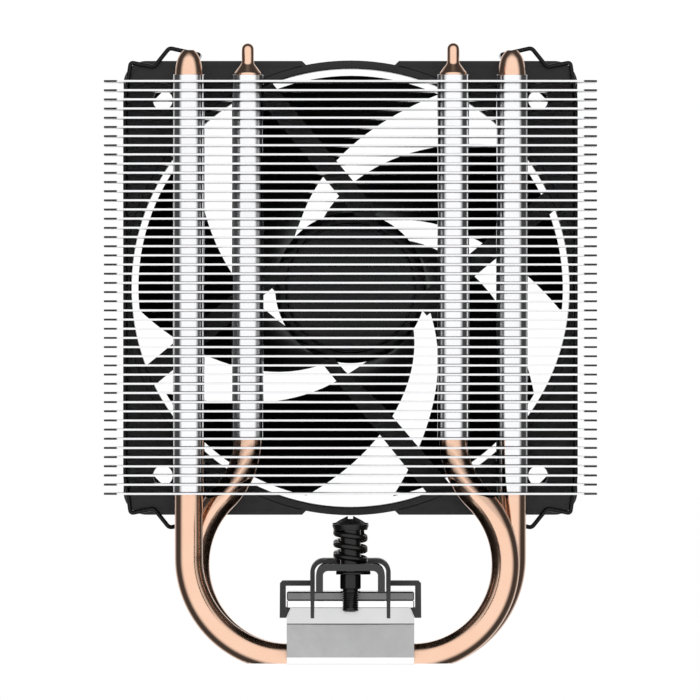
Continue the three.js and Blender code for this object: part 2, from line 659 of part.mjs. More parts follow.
place('base_block', baseBlock(), MILLED);
place('base_cap', baseCap(), MILLED);
place('seat_plate', seatPlate(), POLISHED);
place('foot_plate', footPlate(), DARK_METAL);
fourBaseScrews.forEach((spot, i) => place(`base_screw_${i + 1}`, baseScrew(spot), STEEL));
place('heat_pipe_front', heatPipe(-1, -PIPE_Y), COPPER);
place('heat_pipe_rear', heatPipe(1, PIPE_Y), COPPER);
place('fin_stack', finStack(), FIN_METAL);
place('slotted_fins', slottedFins(), FIN_METAL);
place('mounting_bar', mountingBar(), BLACK_STEEL);
place('bar_cover', barCover(), BLACK_PLASTIC);
for (const [end, y] of [['front', -SCREW_Y], ['rear', SCREW_Y]]) {
  place(`spring_screw_${end}`, springScrew(y), BLACK_STEEL);
  place(`screw_spring_${end}`, screwSpring(y), BLACK_STEEL);
  place(`retaining_ring_${end}`, retainingRing(y), BLACK_STEEL);
}
place('fan_frame', fanFrame(), BLACK_PLASTIC);
place('impeller', impeller(), BLACK_PLASTIC);
place('rotor_yoke', rotorYoke(), STEEL);
place('magnet_ring', magnetRing(), MAGNET);
place('fan_shaft', fanShaft(), STEEL);
place('bearing_sleeve', bearingSleeve(), BRASS);
place('shaft_retainer', shaftRetainer(), STEEL);
place('thrust_pad', thrustPad(), BLACK_PLASTIC);
place('circuit_board', circuitBoard(), BOARD);
place('hub_label', hubLabel(), LABEL);
place('stator_core', statorCore(), STEEL);
for (let i = 0; i < 4; i += 1) place(`winding_${i + 1}`, winding(i), WINDING);
place('fan_clip_left', fanClip(-1), BLACK_STEEL);
place('fan_clip_right', fanClip(1), BLACK_STEEL);

export default cooler;
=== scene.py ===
"""The looks of a compact CPU tower cooler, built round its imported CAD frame.

Shapes are worked out in millimetres and written in metres. X runs across the tower, Y from the open
face of the fins towards the fan, Z up from the contact face.
"""

import math

import bmesh
import bpy
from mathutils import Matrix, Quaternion, Vector
from mathutils.geometry import tessellate_polygon


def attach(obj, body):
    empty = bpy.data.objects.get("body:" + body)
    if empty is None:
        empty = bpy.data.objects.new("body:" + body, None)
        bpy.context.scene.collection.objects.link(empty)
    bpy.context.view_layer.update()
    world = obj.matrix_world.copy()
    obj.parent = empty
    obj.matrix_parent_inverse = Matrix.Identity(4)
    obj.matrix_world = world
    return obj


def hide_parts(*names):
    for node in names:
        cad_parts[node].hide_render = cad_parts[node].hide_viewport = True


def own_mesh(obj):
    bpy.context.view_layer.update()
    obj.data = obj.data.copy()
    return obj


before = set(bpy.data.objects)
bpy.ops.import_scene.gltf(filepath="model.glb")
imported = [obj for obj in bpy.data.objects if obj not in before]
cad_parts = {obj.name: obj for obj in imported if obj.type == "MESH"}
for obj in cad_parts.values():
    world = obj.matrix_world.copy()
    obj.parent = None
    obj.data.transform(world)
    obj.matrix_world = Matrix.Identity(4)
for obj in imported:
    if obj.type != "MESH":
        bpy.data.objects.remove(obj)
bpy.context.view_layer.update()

MM = 0.001

# ------------------------------------------------------------------ sizes, in millimetres

# heat pipes
PIPE_R = 3.0
PIPE_AXIS_Z = 1.24
PIPE_Y = 3.7
OUTER_LEG_X = 34.6
INNER_LEG_X = 22.0
PIPE_BEND_X = 13.2
OUTER_BEND_R = OUTER_LEG_X - PIPE_BEND_X
INNER_BEND_R = 20.0
RETURN_BEND_R = 18.2
RETURN_Z = 48.25
LEG_TOP = 126.3
DOME_TOP = 131.3
NIPPLE_TOP = 132.8
PIPE_SIDES = 40

# fins, all plates alike but for the slots in the lowest
FIN_COUNT = 46
SLOTTED_FINS = 6
FIN_T = 0.42
FIN_PITCH = 1.959
FIN_Z0 = 36.17
FIN_HALF_X = 52.7
FIN_HALF_Y = 22.5
EAR_X = 49.8
EAR_Y = 19.6
COLLAR_R = 3.38
COLLAR_BORE_R = 3.03
NOTCH_X = 47.2
NOTCH_Y = (17.7, 19.95)
LEAN_SLOT_X = (18.5, 31.7)
LEAN_SLOT_HALF_Y = 3.4

# base plates, from the contact face up; X and Y are half widths
BASE_X = 13.6
BASE_Y = 18.0
BLOCK_TOP = 8.6
CAP_TOP = 12.06
SEAT_TOP = 13.5
FOOT_TOP = 15.46
BEVEL_Z = 1.4
BEVEL_Y = 0.5
BASE_SCREW_X = 9.6
BASE_SCREW_Y = 12.6
BASE_SCREW_R = 1.5
BASE_SCREW_HEAD_R = 2.95
SCREW_HOLE_R = 1.7
CROSS_HALF = 0.4
CROSS_REACH = 1.5
SEAM = 0.04
SEAM_BEVEL = 0.16
UNDERCUT_X = 1.0
UNDERCUT_Z = 1.2

# crossbar and its snap-on cover
BAR_X = 7.35
BAR_Y = 42.6
BAR_TOP = 21.5
BAR_WALL = 1.45
BAR_SHOULDER = 2.6
BAR_HOLE_R = 2.5
SCREW_Y = 37.5
COVER_X = 8.6
COVER_Y = 20.4
COVER_TOP = 22.5
COVER_WALL = 0.95
COVER_SHOULDER = 2.9
COVER_FOOT = 9.8
ARM_Y = 8.0
ARM_TOP = 17.75
ARM_T = 1.09
ARM_INNER_X = 13.85
ARM_OUTER_X = 15.1
BARB_X = 12.75
LEG_T = 0.73

# spring screws, as they stand at rest
SHAFT_R = 2.2
THREAD_R = 1.7
THREAD_PITCH = 0.5
TIP_Z = 11.3
THREAD_TOP = 16.1
HEAD_R = 3.95
HEAD_Z = 28.75
HEAD_RIM_Z = 29.85
HEAD_TOP = 31.35
SLOT_HALF = 0.55
SLOT_REACH = 1.9
SLOT_FLOOR = HEAD_TOP - 0.6
RING_R = 3.85
RING_SHIFT = 0.42
RING_GAP_DEG = 24
RING_INNER_R = 2.6
PRONG_R = 1.85
PRONG_HALF_DEG = 15
RING_Z = (19.28, 19.84)
GROOVE_R = 1.7
GROOVE_Z = (19.15, 19.95)
SPRING_R = 3.1
SPRING_WIRE_R = 0.62
END_TURNS = 0.4
END_RISE = 0.06
OPEN_TURNS = 2.5
SPRING_START_DEG = 144

# fan frame; FAN_Z is the height of the fan's axis
FAN_Z = 80.45
FAN_HALF = 48.85
FAN_FRONT = 22.9
FAN_DEPTH = 25.0
FAN_REAR = FAN_FRONT + FAN_DEPTH
DUCT_R = 47.1
FLANGE_T = 3.4
HOLE_OFFSET = 40.35
HOLE_R = 2.15
CROWN_X = 9.55
CORNER_X = CROWN_X + 0.85
CORNER_R = 4.9
RIB_W = 0.9
RIB_RISE = 0.6
RIB_RADII = (50.6, 52.6)
RIB_ARC_HALF = 0.3
RIB_ARC_EDGE = 46.6
BORDER_W = 1.1
BORDER_RISE = 0.5
STRUT_RING_DEG = 24
STRUT_HUB_DEG = -16
STRUT_W = 4.4
LEAD_STRUT = 3
LEAD_NOTCH_Z = (50.5, 56.5)
STRUT_Y = (23.2, 26.4)
MOTOR_BASE_R = 16.2
LABEL_R = 13.6
LABEL_Y = (23.45, 23.75)

# impeller
HUB_R = 16.0
HUB_Y = (27.4, 46.4)
TIP_R = 45.7
BLADES = 5
BLADE_Y = (29.4, 45.4)
BLADE_T = 1.5

# fan clips
WIRE_R = 0.46
RUN_X = 48.35
WIRE_Y = 18.8
HOOK_Y = 50.5
HOOK_X = 43.4
HOOK_RISE = 39.5
HOOK_ROOM = 0.9

# the view, in metres: where its middle is and how much of the object it spans
VIEW_X = -0.0001
VIEW_Z = 0.0671
VIEW_SPAN = 0.1499
LENS_MM = 1700
SENSOR_MM = 36

# how bright the soft lights are, and the dark ring between them
LIGHT = 1.04
DARK = 0.06


# ------------------------------------------------------------------ shapes


def make(name, points, faces):
    """A mesh object from points in millimetres."""
    mesh = bpy.data.meshes.new(name)
    mesh.from_pydata([Vector(p) * MM for p in points], [], faces)
    obj = bpy.data.objects.new(name, mesh)
    bpy.context.scene.collection.objects.link(obj)
    tidy(obj)
    return obj


def tidy(obj):
    """Merges doubled points and turns every face out."""
    bm = bmesh.new()
    bm.from_mesh(obj.data)
    bmesh.ops.remove_doubles(bm, verts=bm.verts, dist=2e-7)
    bmesh.ops.recalc_face_normals(bm, faces=bm.faces)
    bm.to_mesh(obj.data)
    bm.free()


def bake_modifiers(obj):
    graph = bpy.context.evaluated_depsgraph_get()
    mesh = bpy.data.meshes.new_from_object(obj.evaluated_get(graph))
    obj.modifiers.clear()
    obj.data = mesh


def combine(obj, tools, operation):
    """Cuts the tools out of obj, or joins them to it, and removes them."""
    for other in tools:
        modifier = obj.modifiers.new("combine", "BOOLEAN")
        modifier.operation = operation
        modifier.solver = "MANIFOLD"
        modifier.object = other
    bake_modifiers(obj)
    for other in tools:
        bpy.data.objects.remove(other)
    return obj


def cut(obj, tools):
    return combine(obj, tools, "DIFFERENCE")


def join(obj, tools):
    return combine(obj, tools, "UNION")


def soften(obj, bevel=0.0, segments=2, smooth_deg=35):
    """Rounds the sharp edges by bevel, then shades smooth up to an angle."""
    if bevel:
        flatten(obj)
        modifier = obj.modifiers.new("edges", "BEVEL")
        modifier.width = bevel * MM
        modifier.segments = segments
        modifier.limit_method = "ANGLE"
        modifier.angle_limit = math.radians(smooth_deg)
        bake_modifiers(obj)
    tidy(obj)
    obj.data.shade_smooth()
    obj.data.set_sharp_from_angle(angle=math.radians(smooth_deg))
    modifier = obj.modifiers.new("shading", "WEIGHTED_NORMAL")
    modifier.keep_sharp = True
    bake_modifiers(obj)
    return obj


def flatten(obj):
    """Dissolves the edges inside flat regions, so that a bevel meets clean corners."""
    bm = bmesh.new()
    bm.from_mesh(obj.data)
    bmesh.ops.dissolve_limit(bm, angle_limit=math.radians(0.5), verts=bm.verts, edges=bm.edges)
    bm.to_mesh(obj.data)
    bm.free()


def in_xy(a, b, h):
    return (a, b, h)


def in_xz(a, b, h):
    return (a, h, b)


def in_yz(a, b, h):
    return (h, a, b)


def fan_face(a, b, h):
    """The fan's own plane: X and height about its axis, with Y as depth."""
    return (a, h, FAN_Z + b)


def prism(loops, low, high, place):
    """Points and faces of a plate. The first loop is its edge and the rest are holes."""
    flat = [p for loop in loops for p in loop]
    triangles = tessellate_polygon([[Vector((p[0], p[1], 0)) for p in loop] for loop in loops])
    n = len(flat)
    points = [place(p[0], p[1], low) for p in flat] + [place(p[0], p[1], high) for p in flat]
    faces = [tuple(t) for t in triangles]
    faces += [tuple(i + n for i in reversed(t)) for t in triangles]
    start = 0
    for loop in loops:
        for i in range(len(loop)):
            a = start + i
            b = start + (i + 1) % len(loop)
            faces.append((a, b, b + n, a + n))
        start += len(loop)
    return points, faces


def skin(rings, closed=False):
    """Points and faces of a surface through rings of equal count. Open runs get flat ends."""
    sides = len(rings[0])
    points = [p for ring in rings for p in ring]
    faces = []
    for i in range(len(rings) if closed else len(rings) - 1):
        for j in range(sides):
            a = i * sides + j
            b = i * sides + (j + 1) % sides
            below = (i + 1) % len(rings) * sides
            faces.append((a, b, below + (j + 1) % sides, below + j))
    if not closed:
        faces.append(tuple(range(sides)))
        faces.append(tuple(range(len(points) - sides, len(points))))
    return points, faces


def turned(profile, sides, place, centre=(0, 0), closed=False):
    """A profile of (radius, height) turned about an axis; closed profiles make tube walls."""
    rings = []
    turn = [2 * math.pi * j / sides for j in range(sides)]
    for radius, height in profile:
        ring = [(centre[0] + radius * math.cos(t), centre[1] + radius * math.sin(t)) for t in turn]
        rings.append([place(a, b, height) for a, b in ring])
    return skin(rings, closed)


def circle(radius, sides, centre=(0, 0)):
    turn = [2 * math.pi * j / sides for j in range(sides)]
    return [(centre[0] + radius * math.cos(t), centre[1] + radius * math.sin(t)) for t in turn]


def rounded(points, reach, steps=4, closed=True):
    """A polyline with its corners rounded, each curve starting reach away from the corner."""
    corners = [Vector(p) for p in points]
    count = len(corners)
    line = []
    for i, corner in enumerate(corners):
        if not closed and i in (0, count - 1):
            line.append(corner)
            continue
        before = corners[i - 1] - corner
        after = corners[(i + 1) % count] - corner
        start = corner + before.normalized() * min(reach, before.length * 0.48)
        end = corner + after.normalized() * min(reach, after.length * 0.48)
        for k in range(steps + 1):
            t = k / steps
            line.append(start * (1 - t) ** 2 + corner * 2 * t * (1 - t) + end * t * t)
    return line


def swept(path, radius, sides):
    """A round bar along a path; radius is one number, or one for each point."""
    path = [Vector(p) for p in path]
    radii = radius if isinstance(radius, list) else [radius] * len(path)
    last = len(path) - 1
    heading = (path[1] - path[0]).normalized()
    across = heading.orthogonal().normalized()
    rings = []
    for i, point in enumerate(path):
        along = (path[min(i + 1, last)] - path[max(i - 1, 0)]).normalized()
        across = heading.rotation_difference(along) @ across
        across = (across - along * across.dot(along)).normalized()
        heading = along
        ring = []
        for j in range(sides):
            spoke = Quaternion(along, 2 * math.pi * j / sides) @ across
            ring.append(point + spoke * radii[i])
        rings.append(ring)
    return skin(rings)


def block(x, y, z):
    """A box from its (low, high) along each axis."""
    points = [(a, b, c) for a in x for b in y for c in z]
    faces = [(0, 1, 3, 2), (4, 6, 7, 5), (0, 4, 5, 1), (2, 3, 7, 6), (0, 2, 6, 4), (1, 5, 7, 3)]
    return points, faces


def tool(shape):
    """A helper object that is cut out of another, or joined to it."""
    return make("tool", *shape)


def dress(obj, node, body, material):
    """obj stands for a CAD node: it rides on the node's body and takes its finish."""
    obj.data.materials.clear()
    obj.data.materials.append(material)
    obj.name = f"{node}_visual"
    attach(obj, body)
    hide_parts(node)
    return obj


def finish_faces(obj, material, chosen):
    """Gives the faces that chosen(centre, normal) picks another finish. Centres are in millimetres."""
    obj.data.materials.append(material)
    last = len(obj.data.materials) - 1
    for face in obj.data.polygons:
        if chosen(face.center / MM, face.normal):
            face.material_index = last


# ------------------------------------------------------------------ materials


class Surface:
    """A Principled material whose patterns are laid out in millimetres on the object itself."""

    def __init__(self, name, metallic=0.0, specular=0.5):
        self.material = bpy.data.materials.new(name)
        self.material.use_nodes = True
        self.tree = self.material.node_tree
        self.shader = self.tree.nodes["Principled BSDF"]
        self.shader.inputs["Metallic"].default_value = metallic
        self.shader.inputs["Specular IOR Level"].default_value = specular
        self.place = self.add("ShaderNodeTexCoord").outputs["Object"]
        self.height = None

    def add(self, kind, **inputs):
        node = self.tree.nodes.new(kind)
        for name, value in inputs.items():
            self.feed(node.inputs[name.replace("_", " ")], value)
        return node

    def feed(self, socket, value):
        if isinstance(value, bpy.types.NodeSocket):
            self.tree.links.new(value, socket)
        else:
            socket.default_value = value

    def grain(self, per_mm, detail=3.0, stretch=(1, 1, 1)):
        """Noise with about per_mm blotches in a millimetre, drawn out along an axis by stretch."""
        mapping = self.add("ShaderNodeMapping", Vector=self.place)
        mapping.inputs["Scale"].default_value = [per_mm / MM / s for s in stretch]
        noise = self.add("ShaderNodeTexNoise", Vector=mapping.outputs[0], Scale=1.0, Detail=detail)
        return noise.outputs["Fac"]

    def between(self, fac, low, high):
        node = self.add("ShaderNodeMapRange", Value=fac)
        node.inputs["From Min"].default_value = 0.3
        node.inputs["From Max"].default_value = 0.7
        node.inputs["To Min"].default_value = low
        node.inputs["To Max"].default_value = high
        return node.outputs["Result"]

    def color(self, fac, first, second):
        node = self.add("ShaderNodeMix")
        node.data_type = "RGBA"
        self.feed(node.inputs["Factor"], self.between(fac, 0.0, 1.0))
        colours = [s for s in node.inputs if s.type == "RGBA"]
        colours[0].default_value = (*first, 1)
        colours[1].default_value = (*second, 1)
        result = [s for s in node.outputs if s.type == "RGBA"][0]
        self.feed(self.shader.inputs["Base Color"], result)
        return self

    def roughness(self, fac, low, high):
        self.feed(self.shader.inputs["Roughness"], self.between(fac, low, high))
        return self

    def bump(self, fac, depth_mm, strength=1.0):
        node = self.add("ShaderNodeBump", Height=fac, Strength=strength, Distance=depth_mm * MM)
        if self.height:
            self.feed(node.inputs["Normal"], self.height)
        self.height = node.outputs["Normal"]
        self.feed(self.shader.inputs["Normal"], self.height)
        return self


def cool_grey(level, blue):
    """A grey whose blue part is a little different."""
    return (level, level, level * blue)


def copper():
    s = Surface("copper", metallic=1.0)
    s.color(s.grain(0.12, 5), (0.905, 0.61, 0.455), (0.88, 0.57, 0.415))
    s.roughness(s.grain(0.5, 4), 0.12, 0.16)
    return s.bump(s.grain(4.0, 2, (1, 1, 10)), 0.0003).material


def fin_metal(name, shade, rough, depth_mm):
    """Pressed aluminium sheet, shade bright, with faint rolling marks along X."""
    light = [shade * tint for tint in (1.0, 1.002, 1.017)]
    dark = [0.967 * part for part in light]
    s = Surface(name, metallic=1.0)
    s.color(s.grain(0.1, 4), light, dark)
    s.roughness(s.grain(0.4, 4), *rough)
    return s.bump(s.grain(4.0, 2, (12, 1, 1)), depth_mm).material


def milled(name, greys, rough, depth_mm):
    """Aluminium with the fine straight marks of a milling cutter along Y."""
    light, dark = [cool_grey(level, 1.01) for level in greys]
    s = Surface(name, metallic=1.0)
    s.color(s.grain(0.15, 5, (1, 3, 1)), light, dark)
    s.roughness(s.grain(0.8, 4, (1, 8, 1)), *rough)
    return s.bump(s.grain(4.0, 2, (10, 30, 1)), depth_mm).material


# Bright polished plate for the seat plate; on the base block's lower bevel it is also a painted highlight.
def polished_plate():
    s = Surface("polished_plate", metallic=1.0)
    s.color(s.grain(0.2, 4), (0.97, 0.97, 0.97), (0.94, 0.94, 0.945))
    s.roughness(s.grain(1.0, 3, (8, 1, 1)), 0.05, 0.07)
    return s.bump(s.grain(4.0, 2, (12, 1, 1)), 0.0001).material


def dark_plate():
    s = Surface("dark_plate", metallic=1.0)
    s.color(s.grain(0.12, 3), (0.21, 0.21, 0.212), (0.16, 0.16, 0.162))
    s.roughness(s.grain(1.2, 4, (5, 1, 1)), 0.1, 0.14)
    return s.bump(s.grain(4.0, 2, (12, 1, 1)), 0.0002).material


def zinc():
    s = Surface("zinc_screw", metallic=1.0)
    s.color(s.grain(0.6, 4), (0.66, 0.67, 0.69), (0.55, 0.56, 0.57))
    s.roughness(s.grain(2.0, 3), 0.26, 0.36)
    return s.bump(s.grain(6.0, 2), 0.003).material


def black_steel(name, rough, specular):
    """Black lacquer on steel: nearly black, glossy, a little uneven."""
    s = Surface(name, specular=specular)
    s.color(s.grain(0.8, 5), (0.004, 0.004, 0.004), (0.007, 0.007, 0.0065))
    s.roughness(s.grain(1.5, 4), *rough)
    return s.bump(s.grain(3.0, 3), 0.0015).material


def plastic(name, greys, rough, texture_mm, specular=0.5):
    """Moulded plastic or powder coating with a fine texture."""
    dark, light = [cool_grey(level, 1.02) for level in greys]
    s = Surface(name, specular=specular)
    s.color(s.grain(0.12, 4), dark, light)
    s.roughness(s.grain(0.35, 4), *rough)
    return s.bump(s.grain(5.0, 3), texture_mm).material


def steel():
    s = Surface("motor_steel", metallic=1.0)
    s.color(s.grain(0.5, 4), (0.60, 0.60, 0.61), (0.48, 0.48, 0.49))
    s.roughness(s.grain(2.0, 3), 0.25, 0.38)
    return s.bump(s.grain(2.0, 1, (1, 8, 1)), 0.004).material


def magnet():
    s = Surface("magnet", specular=0.3)
    s.color(s.grain(1.5, 6), (0.035, 0.035, 0.037), (0.055, 0.054, 0.053))
    s.roughness(s.grain(3.0, 4), 0.6, 0.8)
    return s.bump(s.grain(6.0, 4), 0.01).material


def brass():
    s = Surface("bearing_brass", metallic=1.0)
    s.color(s.grain(0.8, 4), (0.62, 0.41, 0.13), (0.52, 0.33, 0.10))
    s.roughness(s.grain(2.5, 3), 0.28, 0.42)
    return s.bump(s.grain(8.0, 3), 0.004).material


def winding_copper():
    s = Surface("winding_copper", metallic=0.8)
    s.color(s.grain(1.2, 3), (0.48, 0.16, 0.05), (0.36, 0.10, 0.03))
    s.roughness(s.grain(2.0, 3), 0.25, 0.4)
    return s.bump(s.grain(4.0, 1, (1, 12, 1)), 0.05).material


def board():
    s = Surface("board", specular=0.5)
    s.color(s.grain(0.9, 2), (0.012, 0.075, 0.035), (0.018, 0.10, 0.045))
    s.roughness(s.grain(2.0, 3), 0.3, 0.45)
    return s.bump(s.grain(3.0, 3), 0.01).material


def label():
    s = Surface("label", specular=0.24)
    s.color(s.grain(4.0, 4), (0.006, 0.006, 0.0062), (0.008, 0.008, 0.0082))
    s.roughness(s.grain(3.0, 3), 0.07, 0.1)
    return s.bump(s.grain(8.0, 3), 0.0003).material


COPPER = copper()
# The plates' faces take a darker grey than their edges and collars of the same sheet: painted shade.
FIN_FACE_PAINTED_SHADE = fin_metal("fin_face_painted_shade", shade=0.74, rough=(0.16, 0.22), depth_mm=0.0005)
FIN_EDGE = fin_metal("fin_edge", shade=0.9, rough=(0.38, 0.44), depth_mm=0.0006)
COLLAR_METAL = fin_metal("fin_collar", shade=0.9, rough=(0.04, 0.07), depth_mm=0.0001)
MILLED_BLOCK = milled("milled_block", greys=(0.50, 0.45), rough=(0.4, 0.48), depth_mm=0.002)
MILLED_CAP = milled("milled_cap", greys=(0.68, 0.63), rough=(0.1, 0.13), depth_mm=0.0001)
POLISH_AND_PAINTED_HIGHLIGHT = polished_plate()
DARK_PLATE = dark_plate()
ZINC = zinc()
BLACK_STEEL = black_steel("black_steel", rough=(0.1, 0.15), specular=0.4)
SPRING_WIRE = black_steel("spring_wire", rough=(0.12, 0.18), specular=0.25)
MATT_STEEL = black_steel("matt_steel", rough=(0.3, 0.4), specular=0.08)
BAR_STEEL = plastic("bar_coating", greys=(0.024, 0.030), rough=(0.34, 0.44), texture_mm=0.003)
COVER_PLASTIC = plastic("cover_plastic", greys=(0.022, 0.027), rough=(0.32, 0.42), texture_mm=0.003)
FAN_PLASTIC = plastic(
    "fan_plastic", greys=(0.012, 0.016), rough=(0.2, 0.26), texture_mm=0.0006, specular=0.34
)
IMPELLER_PLASTIC = plastic(
    "impeller_plastic", greys=(0.026, 0.031), rough=(0.2, 0.28), texture_mm=0.0006, specular=0.3
)
STEEL = steel()


# ------------------------------------------------------------------ heat pipes


def arc(centre, radius, first_deg, last_deg, step_deg=3):
    """Points along an arc, in steps of about step_deg."""
    steps = max(1, round(abs(last_deg - first_deg) / step_deg))
    turn = [math.radians(first_deg + (last_deg - first_deg) * i / steps) for i in range(steps + 1)]
    return [(centre[0] + radius * math.cos(t), centre[1] + radius * math.sin(t)) for t in turn]


def outer_leg():
    """[x, z, radius] from the base up to the domed end."""
    bend = arc((PIPE_BEND_X, PIPE_AXIS_Z + OUTER_BEND_R), OUTER_BEND_R, -90, 0)
    # how far below the top, and the radius there
    dome = [
        (0, 1.15), (0.14, 1.32), (0.46, 1.6), (1.16, 2.1),
        (1.86, 2.42), (2.8, 2.68), (3.9, 2.88), (5.0, 2.98),
    ]
    route = [(x, z, PIPE_R) for x, z in bend]
    route += [(OUTER_LEG_X, z, PIPE_R) for z in (50.0, 90.0, LEG_TOP - 1)]
    route += [(OUTER_LEG_X, DOME_TOP - drop, radius) for drop, radius in reversed(dome)]
    return route


def inner_leg():
    """[x, z, radius] from the base, out and back, up to the sealed nipple."""
    out = arc((PIPE_BEND_X, PIPE_AXIS_Z + INNER_BEND_R), INNER_BEND_R, -90, 45)
    back = arc((INNER_LEG_X + RETURN_BEND_R, RETURN_Z), RETURN_BEND_R, 225, 180)
    # height and radius
    tip = [
        (LEG_TOP + 0.05, 2.96), (LEG_TOP + 0.3, 2.78), (LEG_TOP + 1.9, 1.55), (LEG_TOP + 2.25, 1.36),
        (LEG_TOP + 2.7, 1.3), (NIPPLE_TOP - 1.3, 1.3), (NIPPLE_TOP - 0.8, 1.22), (NIPPLE_TOP - 0.38, 0.95),
        (NIPPLE_TOP - 0.1, 0.55), (NIPPLE_TOP, 0.2),
    ]
    route = [(x, z, PIPE_R) for x, z in out + back[1:]]
    route += [(INNER_LEG_X, z, PIPE_R) for z in (70.0, 100.0, LEG_TOP - 1)]
    route += [(INNER_LEG_X, z, radius) for z, radius in tip]
    return route


def pipe_shape(outer_side, y, grow=0.0):
    """A whole pipe, its outer leg on outer_side, grown all round where it is a cutting tool."""
    down = [(outer_side * x, z, r) for x, z, r in reversed(outer_leg())]
    up = [(-outer_side * x, z, r) for x, z, r in inner_leg()]
    route = down + up
    return swept([(x, y, z) for x, z, _ in route], [r + grow for _, _, r in route], PIPE_SIDES)


def below_contact_face():
    return tool(block((-60, 60), (-60, 60), (-20, 0)))


def heat_pipes():
    for name, side, y in (("heat_pipe_front", -1, -PIPE_Y), ("heat_pipe_rear", 1, PIPE_Y)):
        pipe = cut(make(name, *pipe_shape(side, y)), [below_contact_face()])
        dress(soften(pipe), name, "cooler", COPPER)


# ------------------------------------------------------------------ fins

LEGS = [
    (-OUTER_LEG_X, -PIPE_Y),
    (INNER_LEG_X, -PIPE_Y),
    (-INNER_LEG_X, PIPE_Y),
    (OUTER_LEG_X, PIPE_Y),
]


def is_inner(leg):
    return abs(leg[0]) == INNER_LEG_X


def fin_z(index):
    return FIN_Z0 + index * FIN_PITCH


def fin_outline():
    """A plate's edge, with the notch near the back that a fan clip lies in."""
    side = [
        (EAR_X, -FIN_HALF_Y),
        (FIN_HALF_X, -EAR_Y),
        (FIN_HALF_X, NOTCH_Y[0] - 0.5),
        (NOTCH_X, NOTCH_Y[0]),
        (NOTCH_X, NOTCH_Y[1]),
        (EAR_X, NOTCH_Y[1]),
        (EAR_X, FIN_HALF_Y),
    ]
    whole = side + [(-x, y) for x, y in reversed(side)]
    return [tuple(p) for p in rounded(whole, 0.35, 2)]


def collar_profile(z, top):
    """A drawn collar: it leaves the plate in a small fillet and ends in a rolled lip."""
    fillet = 0.14
    plate = z + FIN_T
    curve = []
    for k in range(5):
        t = math.radians(22.5 * k)
        curve.append((COLLAR_R + fillet - fillet * math.sin(t), plate + fillet - fillet * math.cos(t)))
    curve.append((COLLAR_R, plate + fillet + 0.02))
    lip = [
        (COLLAR_R, top - 0.1), (COLLAR_R, top - 0.08), (COLLAR_R - 0.03, top - 0.03), (COLLAR_R - 0.1, top),
    ]
    inside = [(COLLAR_BORE_R, top), (COLLAR_BORE_R, z + 0.1), (COLLAR_BORE_R + 0.3, z + 0.02)]
    return curve + lip + inside + [(COLLAR_R + fillet, z + 0.02)]


def merge_shapes(shapes):
    points = []
    faces = []
    for shape_points, shape_faces in shapes:
        start = len(points)
        points += shape_points
        faces += [tuple(i + start for i in face) for face in shape_faces]
    return points, faces


def fin_run(indices, legs, slots, top_of_last):
    """A run of plates, each with its collars, which reach up to the next plate."""
    shapes = []
    hole_r = COLLAR_R + 0.15
    for index in indices:
        z = fin_z(index)
        holes = [circle(hole_r, 32, leg) for leg in legs]
        shapes.append(prism([fin_outline(), *holes, *slots], z, z + FIN_T, in_xy))
        top = top_of_last if index == indices[-1] else fin_z(index + 1) - 0.01
        for leg in legs:
            shapes.append(turned(collar_profile(z, top), 32, in_xy, leg, closed=True))
    return merge_shapes(shapes)


def lean_slot(leg):
    """The long hole that lets an inner leg lean through a low plate."""
    side = math.copysign(1, leg[0])
    near, far = sorted((side * LEAN_SLOT_X[0], side * LEAN_SLOT_X[1]))
    low, high = leg[1] - LEAN_SLOT_HALF_Y, leg[1] + LEAN_SLOT_HALF_Y
    corners = [(near, low), (far, low), (far, high), (near, high)]
    return [tuple(p) for p in rounded(corners, LEAN_SLOT_HALF_Y * 0.95, 6)]


def fins():
    last_top = fin_z(FIN_COUNT - 1) + FIN_PITCH - 0.2
    upper = make("fin_stack", *fin_run(list(range(SLOTTED_FINS, FIN_COUNT)), LEGS, [], last_top))
    dress(soften(upper), "fin_stack", "cooler", FIN_FACE_PAINTED_SHADE)
    finish_fins(upper)
    outer = [leg for leg in LEGS if not is_inner(leg)]
    slots = [lean_slot(leg) for leg in LEGS if is_inner(leg)]
    lower_top = fin_z(SLOTTED_FINS) - 0.05
    lower = make("slotted_fins", *fin_run(list(range(SLOTTED_FINS)), outer, slots, lower_top))
    dress(soften(lower), "slotted_fins", "cooler", FIN_FACE_PAINTED_SHADE)
    finish_fins(lower)


def finish_fins(obj):
    """The sheared edges are rougher than the rolled faces, and the drawn collars are burnished. The faces
    and the ear chamfers also get a darker grey than the edges, which is painted shade.
    """

    def sheared(centre, normal):
        # The ear chamfers keep the darker face grey, painted shade that draws them as dark lines.
        on_chamfer = abs(normal.x) > 0.5 and abs(normal.y) > 0.5
        return abs(normal.z) < 0.7 and not on_chamfer

    def drawn(centre, normal):
        return any(math.hypot(centre.x - x, centre.y - y) < COLLAR_R + 0.5 for x, y in LEGS)

    finish_faces(obj, FIN_EDGE, sheared)
    finish_faces(obj, COLLAR_METAL, drawn)


# ------------------------------------------------------------------ base

SCREW_SPOTS = [(-1, -1), (1, -1), (-1, 1), (1, 1)]


def screw_spots():
    return [(sx * BASE_SCREW_X, sy * BASE_SCREW_Y) for sx, sy in SCREW_SPOTS]


def screw_tools(radius, low, high):
    return [tool(turned([(radius, low), (radius, high)], 28, in_xy, spot)) for spot in screw_spots()]


